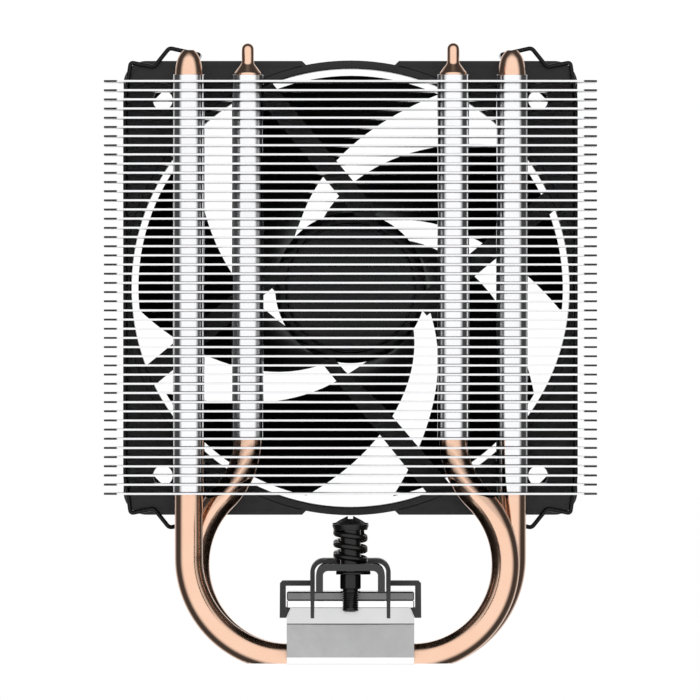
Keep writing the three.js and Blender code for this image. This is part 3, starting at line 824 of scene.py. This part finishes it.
def base_block():
    profile = [
        (-BASE_Y, BEVEL_Z), (-BASE_Y + BEVEL_Y, 0), (BASE_Y - BEVEL_Y, 0), (BASE_Y, BEVEL_Z),
        (BASE_Y, BLOCK_TOP - SEAM_BEVEL), (BASE_Y - SEAM_BEVEL, BLOCK_TOP),
        (-BASE_Y + SEAM_BEVEL, BLOCK_TOP), (-BASE_Y, BLOCK_TOP - SEAM_BEVEL),
    ]
    obj = make("base_block", *prism([profile], -BASE_X, BASE_X, in_yz))
    soften(obj, bevel=0.05)
    grooves = [tool(pipe_shape(side, y, 0.03)) for side, y in ((-1, -PIPE_Y), (1, PIPE_Y))]
    sink_r = BASE_SCREW_HEAD_R + 0.1
    bore_r = BASE_SCREW_R + 0.15
    sinks = [(sink_r, -1), (sink_r, 0.45), (bore_r, 1.9), (bore_r, 20)]
    cut(obj, grooves + [tool(turned(sinks, 28, in_xy, spot)) for spot in screw_spots()])
    dress(soften(obj), "base_block", "cooler", MILLED_BLOCK)
    # The block's lower bevel takes the bright plate finish: a polished band, painted brighter as a
    # highlight so the strip reads white.
    finish_faces(obj, POLISH_AND_PAINTED_HIGHLIGHT, lambda centre, normal: centre.z < BEVEL_Z and abs(normal.y) > 0.8)


def base_cap():
    low = BLOCK_TOP + SEAM
    profile = [
        (-BASE_X, low), (BASE_X, low), (BASE_X, low + UNDERCUT_Z), (BASE_X - UNDERCUT_X, CAP_TOP),
        (-BASE_X + UNDERCUT_X, CAP_TOP), (-BASE_X, low + UNDERCUT_Z),
    ]
    obj = soften(make("base_cap", *prism([profile], -BASE_Y, BASE_Y, in_xz)), bevel=0.08)
    cut(obj, screw_tools(SCREW_HOLE_R, 0, 20))
    dress(soften(obj), "base_cap", "cooler", MILLED_CAP)


def plates():
    edge = [(-BASE_X, -BASE_Y), (BASE_X, -BASE_Y), (BASE_X, BASE_Y), (-BASE_X, BASE_Y)]
    loop = [tuple(p) for p in rounded(edge, 0.5, 4)]
    seat = make("seat_plate", *prism([loop], CAP_TOP + SEAM, SEAT_TOP, in_xy))
    cut(soften(seat, bevel=0.06), screw_tools(SCREW_HOLE_R, 0, SEAT_TOP - 0.3))
    dress(soften(seat), "seat_plate", "cooler", POLISH_AND_PAINTED_HIGHLIGHT)
    foot = make("foot_plate", *prism([loop], SEAT_TOP + SEAM, FOOT_TOP, in_xy))
    dress(soften(foot, bevel=0.28, segments=1), "foot_plate", "cooler", DARK_PLATE)


def base_screws():
    """Countersunk screws from below, each with a cross in its head."""
    profile = [
        (BASE_SCREW_HEAD_R - 0.35, 0.3), (BASE_SCREW_HEAD_R, 0.38), (BASE_SCREW_HEAD_R, 0.5),
        (BASE_SCREW_R, 1.85), (BASE_SCREW_R, SEAT_TOP - 0.6), (BASE_SCREW_R - 0.3, SEAT_TOP - 0.35),
    ]
    for number, (x, y) in enumerate(screw_spots(), 1):
        obj = make(f"base_screw_{number}", *turned(profile, 28, in_xy, (x, y)))
        arms = [
            tool(block((x - across, x + across), (y - along, y + along), (-1, 1.0)))
            for across, along in ((CROSS_HALF, CROSS_REACH), (CROSS_REACH, CROSS_HALF))
        ]
        dress(soften(cut(obj, arms)), f"base_screw_{number}", "cooler", ZINC)


# ------------------------------------------------------------------ crossbar and its cover


def arch(half, top, thick, foot, shoulder):
    """The section of an upside-down U with round shoulders."""
    inner = max(shoulder - thick, 0.4)
    outside = arc((half - shoulder, top - shoulder), shoulder, 0, 90, 9)
    outside += [(-x, z) for x, z in reversed(outside)]
    hollow = half - thick
    inside = arc((hollow - inner, top - thick - inner), inner, 0, 90, 9)
    inside += [(-x, z) for x, z in reversed(inside)]
    loop = [(half, foot)] + outside + [(-half, foot), (-hollow, foot)]
    return loop + list(reversed(inside)) + [(hollow, foot)]


def mounting_bar():
    section = arch(BAR_X, BAR_TOP, BAR_WALL, FOOT_TOP + SEAM, BAR_SHOULDER)
    obj = make("mounting_bar", *prism([section], -BAR_Y, BAR_Y, in_xz))
    bore = [(BAR_HOLE_R, FOOT_TOP - 5), (BAR_HOLE_R, BAR_TOP + 5)]
    cut(obj, [tool(turned(bore, 32, in_xy, (0, y))) for y in (-SCREW_Y, SCREW_Y)])
    dress(soften(obj, bevel=0.16, smooth_deg=40), "mounting_bar", "cooler", BAR_STEEL)


def cover_arm(side):
    """A snap arm: out from the cover, down past the base plates, and a barb that hooks under them."""
    root = COVER_X - 0.4
    under = ARM_TOP - ARM_T
    arm = [
        (root, under), (ARM_INNER_X, under), (ARM_INNER_X, CAP_TOP - 0.02), (BARB_X, CAP_TOP - 0.02),
        (BARB_X + 1, COVER_FOOT), (ARM_OUTER_X + 0.05, COVER_FOOT), (ARM_OUTER_X, ARM_TOP - 0.55),
        (ARM_OUTER_X - 0.55, ARM_TOP), (root, ARM_TOP),
    ]
    return tool(prism([[(side * x, z) for x, z in arm]], -ARM_Y, ARM_Y, in_xz))


def cover_legs(side):
    """The two thin legs on one side, which reach down in front of and behind the base plates."""
    inner = COVER_X - COVER_WALL
    top = 18
    leg = [
        (COVER_X - 0.02, top), (inner + 0.02, top), (inner + 0.02, FOOT_TOP),
        (COVER_X - 0.1 - LEG_T, COVER_FOOT), (COVER_X - 0.1, COVER_FOOT),
    ]
    leg = [(side * x, z) for x, z in leg]
    near, far = BASE_Y + 0.25, COVER_Y - 0.02
    return [tool(prism([leg], *ends, in_xz)) for ends in ((-far, -near), (near, far))]


def bar_cover():
    section = arch(COVER_X, COVER_TOP, COVER_WALL, FOOT_TOP + 0.2, COVER_SHOULDER)
    obj = make("bar_cover", *prism([section], -COVER_Y, COVER_Y, in_xz))
    parts = []
    for side in (-1, 1):
        parts += [cover_arm(side), *cover_legs(side)]
    join(obj, parts)
    dress(soften(obj, bevel=0.15, smooth_deg=40), "bar_cover", "cooler", COVER_PLASTIC)


# ------------------------------------------------------------------ spring screws


def thread_ring(z, y, depth, sides=48):
    """One ring of a helical thread, V-shaped in section."""
    ring = []
    for j in range(sides):
        share = j / sides
        phase = (z / THREAD_PITCH - share) % 1.0
        radius = THREAD_R - depth * abs(2 * phase - 1)
        turn = 2 * math.pi * share
        ring.append((radius * math.cos(turn), y + radius * math.sin(turn), z))
    return ring


def plain_ring(radius, z, y, sides=48):
    turn = [2 * math.pi * j / sides for j in range(sides)]
    return [(radius * math.cos(t), y + radius * math.sin(t), z) for t in turn]


def spring_screw(name, body, y):
    """A captive screw: a thread at its tip, a groove for its ring, and a domed head with a cross."""
    rings = [plain_ring(0.7, TIP_Z, y), plain_ring(1.15, TIP_Z, y)]
    first, last = TIP_Z + 0.3, THREAD_TOP - 0.35
    steps = round((last - first) / (THREAD_PITCH / 8))
    for k in range(steps + 1):
        z = first + (last - first) * k / steps
        fade = min(1.0, k / 8, (steps - k) / 6)
        rings.append(thread_ring(z, y, 0.16 * fade))
    stem = [
        (THREAD_R - 0.12, THREAD_TOP - 0.25), (THREAD_R - 0.12, THREAD_TOP), (SHAFT_R - 0.25, THREAD_TOP),
        (SHAFT_R, THREAD_TOP + 0.25), (SHAFT_R, GROOVE_Z[0]), (GROOVE_R, GROOVE_Z[0]),
        (GROOVE_R, GROOVE_Z[1]), (SHAFT_R, GROOVE_Z[1]),
        (SHAFT_R, HEAD_Z), (HEAD_R - 0.4, HEAD_Z), (HEAD_R - 0.33, HEAD_Z + 0.06), (HEAD_R, HEAD_RIM_Z),
        (HEAD_R - 0.2, HEAD_RIM_Z + 0.05), (HEAD_R - 0.75, HEAD_RIM_Z + 0.1), (2.4, HEAD_TOP - 0.88),
        (1.5, HEAD_TOP - 0.38), (0.95, HEAD_TOP - 0.06), (0.8, HEAD_TOP), (0.4, HEAD_TOP),
    ]
    rings += [plain_ring(radius, z, y) for radius, z in stem]
    obj = make(name, *skin(rings))
    arms = [
        tool(block((-across, across), (y - along, y + along), (SLOT_FLOOR, HEAD_TOP + 5)))
        for across, along in ((SLOT_HALF, SLOT_REACH), (SLOT_REACH, SLOT_HALF))
    ]
    dress(soften(cut(obj, arms)), name, body, BLACK_STEEL)
    finish_faces(obj, MATT_STEEL, lambda centre, normal: centre.z > HEAD_RIM_Z and normal.z > 0.3)


def retaining_ring(name, body, y):
    """A flat E-shaped ring, open on its left, whose prongs reach into the screw's groove."""
    end_deg = 180 - RING_GAP_DEG
    outer = arc((RING_SHIFT, 0), RING_R, end_deg, -end_deg, 6)
    inner = []
    half_steps = 30
    for k in range(-half_steps, half_steps + 1):
        angle = end_deg * k / half_steps
        near_prong = min(abs(angle - prong) for prong in (-120, 0, 120))
        inner.append(fan_point(PRONG_R if near_prong < PRONG_HALF_DEG else RING_INNER_R, angle))
    loop = [(a, y + b) for a, b in outer + inner]
    obj = make(name, *prism([loop], *RING_Z, in_xy))
    dress(soften(obj, bevel=0.06, segments=1, smooth_deg=50), name, body, BLACK_STEEL)


def screw_spring(name, y):
    """A compression spring: its ends lie nearly flat and the turns between them are open."""
    steps = 40
    low = BAR_TOP + SPRING_WIRE_R
    high = HEAD_Z - SPRING_WIRE_R
    marks = [0, END_TURNS, END_TURNS + OPEN_TURNS, 2 * END_TURNS + OPEN_TURNS]
    levels = [low, low + END_RISE, high - END_RISE, high]
    total = marks[-1]
    path = []
    for k in range(round(total * steps) + 1):
        turns = min(k / steps, total)
        i = max(j for j in range(3) if turns >= marks[j])
        share = (turns - marks[i]) / (marks[i + 1] - marks[i])
        z = levels[i] + (levels[i + 1] - levels[i]) * share
        t = math.radians(SPRING_START_DEG) - 2 * math.pi * turns
        path.append((SPRING_R * math.cos(t), y + SPRING_R * math.sin(t), z))
    obj = soften(make(name, *swept(path, SPRING_WIRE_R, 14)))
    dress(obj, name, "cooler", BLACK_STEEL)
    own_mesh(obj)


def spring_screws():
    for end, y in (("front", -SCREW_Y), ("rear", SCREW_Y)):
        spring_screw(f"spring_screw_{end}", f"{end}_screw", y)
        retaining_ring(f"retaining_ring_{end}", f"{end}_screw_press", y)
        screw_spring(f"screw_spring_{end}", y)


# ------------------------------------------------------------------ fan frame


def fan_point(radius, angle_deg):
    t = math.radians(angle_deg)
    return (radius * math.cos(t), radius * math.sin(t))


def quarter_edge(inset=0.0):
    """One corner of the frame's edge, from the ring's crown on its right to the one on top."""
    edge = FAN_HALF - 0.1 - inset
    start = math.sqrt((FAN_HALF - inset) ** 2 - CROWN_X ** 2)
    middle = FAN_HALF - 0.1 - CORNER_R
    corner = arc((middle, middle), CORNER_R - inset, 0, 90, 6)
    return [(start, CROWN_X), (edge, CORNER_X), *corner, (CORNER_X, edge), (CROWN_X, start)]


def frame_edge(inset=0.0):
    """The frame's square edge, where the round duct stands out a little in the middle of each side."""
    loop = []
    crown = math.degrees(math.asin(CROWN_X / (FAN_HALF - inset)))
    for quarter in range(4):
        turn = math.radians(90 * quarter)
        for a, b in quarter_edge(inset):
            loop.append((a * math.cos(turn) - b * math.sin(turn), a * math.sin(turn) + b * math.cos(turn)))
        middle = 90 * (quarter + 1)
        loop += arc((0, 0), FAN_HALF - inset, middle - crown, middle + crown)[1:-1]
    return loop


CORNERS = [(-1, -1), (1, -1), (1, 1), (-1, 1)]


def corner_holes(radius):
    return [circle(radius, 28, (sx * HOLE_OFFSET, sz * HOLE_OFFSET)) for sx, sz in CORNERS]


def bar_between(start, end, width, low, high):
    """A straight rib between two places on the fan's face."""
    a = Vector(start)
    b = Vector(end)
    side = Vector((-(b - a).y, (b - a).x)).normalized() * width / 2
    return prism([[a - side, b - side, b + side, a + side]], low, high, fan_face)


def corner_ribs():
    """Raised ribs that run from each corner's edges in to the duct."""
    outer_end = (30.7, 48.0)
    inner_end = (26.2, 42.2)
    ribs = []
    for sx, sz in CORNERS:
        for start, end in ((outer_end, inner_end), (outer_end[::-1], inner_end[::-1])):
            first = (sx * start[0], sz * start[1])
            second = (sx * end[0], sz * end[1])
            ribs.append(tool(bar_between(first, second, RIB_W, FAN_FRONT + 0.06, FAN_FRONT + RIB_RISE)))
        for radius in RIB_RADII:
            ribs.append(tool(corner_arc(sx, sz, radius)))
    return ribs


def corner_arc(sx, sz, radius):
    """A raised arc beside the duct, inside one corner."""
    middle = math.degrees(math.atan2(sz, sx))
    spread = math.degrees(math.acos(RIB_ARC_EDGE / radius))
    limit = 45 - spread - 1
    outside = arc((0, 0), radius + RIB_ARC_HALF, middle - limit, middle + limit)
    inside = arc((0, 0), radius - RIB_ARC_HALF, middle + limit, middle - limit)
    return prism([outside + inside], FAN_FRONT + 0.08, FAN_FRONT + RIB_RISE, fan_face)


def flange(front):
    """A flange: a plate with a raised border and raised rings round its holes on its outer face."""
    face = FAN_FRONT if front else FAN_REAR - FLANGE_T
    low, high = face, face + FLANGE_T
    if front:
        border = (face, face + BORDER_RISE)
        low = face + 0.3
    else:
        border = (high - BORDER_RISE, high)
        high = high - 0.3
    inner = circle(DUCT_R + 0.7, 120)
    plate = prism([frame_edge(0.02), inner, *corner_holes(HOLE_R)], low, high, fan_face)
    rings = zip(corner_holes(HOLE_R + BORDER_W), corner_holes(HOLE_R))
    shapes = [plate, prism([frame_edge(), frame_edge(BORDER_W)], *border, fan_face)]
    shapes += [prism([outside, hole], *border, fan_face) for outside, hole in rings]
    return [tool(shape) for shape in shapes]


def strut_ends(index):
    hub = fan_point(MOTOR_BASE_R - 0.6, STRUT_HUB_DEG + 90 * index)
    rim = fan_point(DUCT_R + 0.9, STRUT_RING_DEG + 90 * index)
    return Vector(hub), Vector(rim)


def strut_shape(index):
    """A straight slanted strut. The one that carries the fan's lead narrows towards the hub."""
    hub, rim = strut_ends(index)
    along = (rim - hub).normalized()
    side = Vector((-along.y, along.x)) * STRUT_W / 2
    if index != LEAD_STRUT:
        return prism([[hub - side, rim - side, rim + side, hub + side]], *STRUT_Y, fan_face)
    waist = hub + along * 16
    slim = hub + along * 4
    flared = side * 1.15
    slimmed = side * 0.25
    loop = [hub - side, rim - flared, rim + flared, waist + side, slim + slimmed, hub + slimmed]
    return prism([loop], *STRUT_Y, fan_face)


def lead_grooves():
    """Two fine grooves along the strut that carries the fan's lead."""
    hub, rim = strut_ends(LEAD_STRUT)
    along = (rim - hub).normalized()
    side = Vector((-along.y, along.x))
    cuts = []
    for offset in (-0.1, 0.9):
        start = hub + along * 7 + side * offset
        end = rim - along * 1.2 + side * offset
        cuts.append(tool(bar_between(start, end, 0.4, STRUT_Y[0] - 1, STRUT_Y[0] + 0.5)))
    return cuts


def duct_profile():
    """The duct's wall, flared a little at both lips."""
    return [
        (DUCT_R + 0.3, FAN_FRONT + 0.1), (DUCT_R + 1.55, FAN_FRONT + 0.1), (FAN_HALF, FAN_FRONT + 0.3),
        (FAN_HALF, FAN_REAR - 0.3), (DUCT_R + 1.55, FAN_REAR - 0.1), (DUCT_R + 1.0, FAN_REAR - 0.1),
        (DUCT_R + 0.5, FAN_REAR - 0.4), (DUCT_R + 0.15, FAN_REAR - 1.1), (DUCT_R, FAN_REAR - 2.4),
        (DUCT_R, FAN_FRONT + 0.4), (DUCT_R + 0.1, FAN_FRONT + 0.2),
    ]


def motor_base():
    """The disc that carries the motor, with a raised rim round its label, and the bearing boss."""
    profile = [
        (0.5, FAN_FRONT + 0.9), (13.8, FAN_FRONT + 0.9), (14.0, FAN_FRONT + 0.5), (15.4, FAN_FRONT + 0.4),
        (MOTOR_BASE_R, FAN_FRONT + 1.0), (MOTOR_BASE_R, STRUT_Y[1]), (3.9, STRUT_Y[1]), (3.9, 39.6),
        (2.8, 39.6), (2.8, FAN_FRONT + 1.9), (0.5, FAN_FRONT + 1.9),
    ]
    return turned(profile, 96, fan_face)


def hook_slots():
    """The slots in the rear flange that the clips' ends hook into."""
    depth = (FAN_REAR - FLANGE_T - 1, FAN_REAR + 1)
    slots = []
    for sx, sz in CORNERS:
        across = sorted((sx * (HOOK_X - HOOK_ROOM), sx * (HOOK_X + 1.9)))
        middle = FAN_Z + sz * HOOK_RISE
        slots.append(tool(block(across, depth, (middle - HOOK_ROOM, middle + HOOK_ROOM))))
    return slots


def lead_notch():
    """The notch in the front flange that the fan's lead leaves by."""
    return tool(block((-FAN_HALF - 1, -FAN_HALF + 4), (FAN_FRONT - 1, FAN_FRONT + 2.2), LEAD_NOTCH_Z))


def fan_frame():
    obj = make("fan_frame", *turned(duct_profile(), 180, fan_face, closed=True))
    struts = [tool(strut_shape(i)) for i in range(4)]
    join(obj, flange(True) + flange(False) + struts + [tool(motor_base())] + corner_ribs())
    cut(obj, hook_slots() + [lead_notch()] + lead_grooves())
    dress(soften(obj, bevel=0.12, smooth_deg=42), "fan_frame", "cooler", FAN_PLASTIC)


# ------------------------------------------------------------------ impeller


def blade_edges(radius):
    """Both edges of a blade are spirals: their angle falls with the logarithm of the radius."""
    u = math.log(44.5 / radius)
    gap_low = 43.8 + 66.6 * u
    root_curl = 170 * max(0, u - 0.85) ** 2
    gap_high = 67 + 56 * u + 10.4 * u * u + root_curl
    return gap_high, gap_low + 360 / BLADES


def blade_shape(index):
    """A cambered blade, thick behind its rounded leading edge and thin at the trailing one."""
    radial, chord = 22, 26
    rings = []
    root = HUB_R - 0.6
    for i in range(radial + 1):
        radius = root + (TIP_R - root) * i / radial
        low, high = blade_edges(radius)
        upper, lower = [], []
        for j in range(chord + 1):
            share = (1 - math.cos(math.pi * j / chord)) / 2
            angle = low + (high - low) * share + 360 / BLADES * index
            a, b = fan_point(radius, angle)
            camber = share + 0.07 * math.sin(math.pi * share)
            y = BLADE_Y[0] + (BLADE_Y[1] - BLADE_Y[0]) * camber
            thick = BLADE_T * (0.16 + 1.9 * math.sqrt(share * (1 - share)) * (0.62 + 0.3 * share))
            thick *= 1.15 - 0.35 * i / radial
            upper.append(fan_face(a, b, y - thick / 2))
            lower.append(fan_face(a, b, y + thick / 2))
        rings.append(upper + list(reversed(lower)))
    return skin(rings)


def impeller():
    """The hub is a cup whose floor, at the rear, has a shallow ring sunk in it, with five blades."""
    front, rear = HUB_Y
    cup = [
        (14.3, front), (HUB_R - 0.25, front), (HUB_R, front + 0.25), (HUB_R, rear - 2.2),
        (HUB_R - 0.17, rear - 1.35), (HUB_R - 0.65, rear - 0.65), (HUB_R - 1.35, rear - 0.17),
        (HUB_R - 2.2, rear), (11.2, rear), (10.9, rear - 0.35), (5.2, rear - 0.35), (4.9, rear),
        (1.7, rear), (1.7, rear - 6), (3.4, rear - 6), (3.4, rear - 1.7), (14.3, rear - 1.7),
    ]
    obj = make("impeller", *turned(cup, 96, fan_face, closed=True))
    join(obj, [tool(blade_shape(i)) for i in range(BLADES)])
    dress(soften(obj, smooth_deg=38), "impeller", "fan_rotor", IMPELLER_PLASTIC)


# ------------------------------------------------------------------ fan clips


def clip_half(side, up):
    """Half a clip, from the middle of its long run to the hooked end behind the fan."""
    run = [
        (RUN_X, WIRE_Y, 0), (RUN_X, WIRE_Y, 40.5), (47.2, WIRE_Y, 48.4), (42.2, WIRE_Y, 47.4),
        (38.9, WIRE_Y, 51.5), (32.6, WIRE_Y + 1.5, 50.1), (32.4, FAN_REAR, 50),
        (32.7, HOOK_Y, 49.6), (34.6, HOOK_Y, 48.9), (42.7, HOOK_Y, 40.8), (HOOK_X, HOOK_Y - 0.5, HOOK_RISE),
        (HOOK_X, FAN_REAR - 1.2, HOOK_RISE),
    ]
    return [(side * x, y, FAN_Z + up * z) for x, y, z in run]


def fan_clips():
    for name, body, side in (("fan_clip_left", "left_clip", -1), ("fan_clip_right", "right_clip", 1)):
        path = list(reversed(clip_half(side, 1))) + clip_half(side, -1)[1:]
        line = rounded(path, 0.7, 5, closed=False)
        obj = soften(make(name, *swept(line, WIRE_R, 16)))
        dress(obj, name, body, SPRING_WIRE)


# ------------------------------------------------------------------ motor pieces


def motor_pieces():
    """The motor's CAD pieces keep their shapes and get finished materials."""
    finishes = {
        "rotor_yoke": STEEL, "fan_shaft": STEEL, "shaft_retainer": STEEL, "stator_core": STEEL,
        "magnet_ring": magnet(), "bearing_sleeve": brass(), "thrust_pad": IMPELLER_PLASTIC,
        "circuit_board": board(),
    }
    windings = winding_copper()
    for number in range(1, 5):
        finishes[f"winding_{number}"] = windings
    for node, material in finishes.items():
        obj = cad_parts[node]
        obj.data.materials.clear()
        obj.data.materials.append(material)
    face, back = LABEL_Y
    disc = [
        (0.5, face), (LABEL_R - 0.2, face), (LABEL_R, face + 0.07), (LABEL_R, back), (0.5, back),
    ]
    obj = make("hub_label", *turned(disc, 96, fan_face))
    dress(soften(obj), "hub_label", "cooler", label())


# ------------------------------------------------------------------ studio


def add_camera():
    """A very long lens, straight in front, that takes in VIEW_SPAN at the tower's middle."""
    data = bpy.data.cameras.new("camera")
    data.lens = LENS_MM
    data.sensor_width = SENSOR_MM
    data.clip_start = 0.1
    data.clip_end = 40
    obj = bpy.data.objects.new("camera", data)
    obj.location = (VIEW_X, -VIEW_SPAN * LENS_MM / SENSOR_MM, VIEW_Z)
    obj.rotation_euler = (math.radians(90), 0, 0)
    bpy.context.scene.collection.objects.link(obj)
    bpy.context.scene.camera = obj


def add_floor():
    """A white floor that the lights shine through, so that the object is lit alike from every side."""
    points, faces = block((-9000, 9000), (-9000, 9000), (-12, -0.05))
    floor = make("floor", points, faces)
    s = Surface("floor", specular=0.0)
    s.shader.inputs["Base Color"].default_value = (0, 0, 0, 1)
    s.shader.inputs["Emission Color"].default_value = (1, 1, 1, 1)
    s.shader.inputs["Emission Strength"].default_value = 1.0
    seen = s.add("ShaderNodeLightPath").outputs["Is Camera Ray"]
    s.feed(s.shader.inputs["Alpha"], seen)
    floor.data.materials.append(s.material)


def world_math(tree, operation, *values):
    node = tree.nodes.new("ShaderNodeMath")
    node.operation = operation
    for socket, value in zip(node.inputs, values):
        if isinstance(value, bpy.types.NodeSocket):
            tree.links.new(value, socket)
        else:
            socket.default_value = value
    return node.outputs[0]


def step_between(tree, value, low, high):
    """0 below low, 1 above high, smooth between."""
    node = tree.nodes.new("ShaderNodeMapRange")
    node.interpolation_type = "SMOOTHSTEP"
    tree.links.new(value, node.inputs["Value"])
    node.inputs["From Min"].default_value = low
    node.inputs["From Max"].default_value = high
    return node.outputs["Result"]


def add_studio():
    """A round soft light in front and another behind, with a dark ring between them.

    The camera sees plain white in every direction.
    """
    world = bpy.data.worlds.new("studio")
    bpy.context.scene.world = world
    world.use_nodes = True
    tree = world.node_tree
    tree.nodes.clear()
    direction = tree.nodes.new("ShaderNodeTexCoord").outputs["Generated"]
    front = light_towards(tree, direction, (0, -1, 0), fade=0.18, full=0.72)
    back = light_towards(tree, direction, (0, 1, 0), fade=0.45, full=1.12)
    bright = world_math(tree, "ADD", front, back)
    strength = world_math(tree, "MULTIPLY_ADD", bright, LIGHT, DARK)
    seen = tree.nodes.new("ShaderNodeLightPath").outputs["Is Camera Ray"]
    shown = world_math(tree, "MAXIMUM", strength, seen)
    background = tree.nodes.new("ShaderNodeBackground")
    background.inputs["Color"].default_value = (1, 1, 1, 1)
    tree.links.new(shown, background.inputs["Strength"])
    output = tree.nodes.new("ShaderNodeOutputWorld")
    tree.links.new(background.outputs[0], output.inputs["Surface"])
    bpy.context.scene.view_settings.view_transform = "Standard"


def light_towards(tree, direction, centre, fade, full):
    """A soft disc of light: fade and full are cosines of the angle from its centre."""
    dot = tree.nodes.new("ShaderNodeVectorMath")
    dot.operation = "DOT_PRODUCT"
    tree.links.new(direction, dot.inputs[0])
    dot.inputs[1].default_value = Vector(centre).normalized()
    return step_between(tree, dot.outputs["Value"], fade, full)


# ------------------------------------------------------------------ assembly

add_camera()
add_studio()
add_floor()
heat_pipes()
fins()
base_block()
base_cap()
plates()
base_screws()
mounting_bar()
bar_cover()
spring_screws()
fan_frame()
impeller()
fan_clips()
motor_pieces()
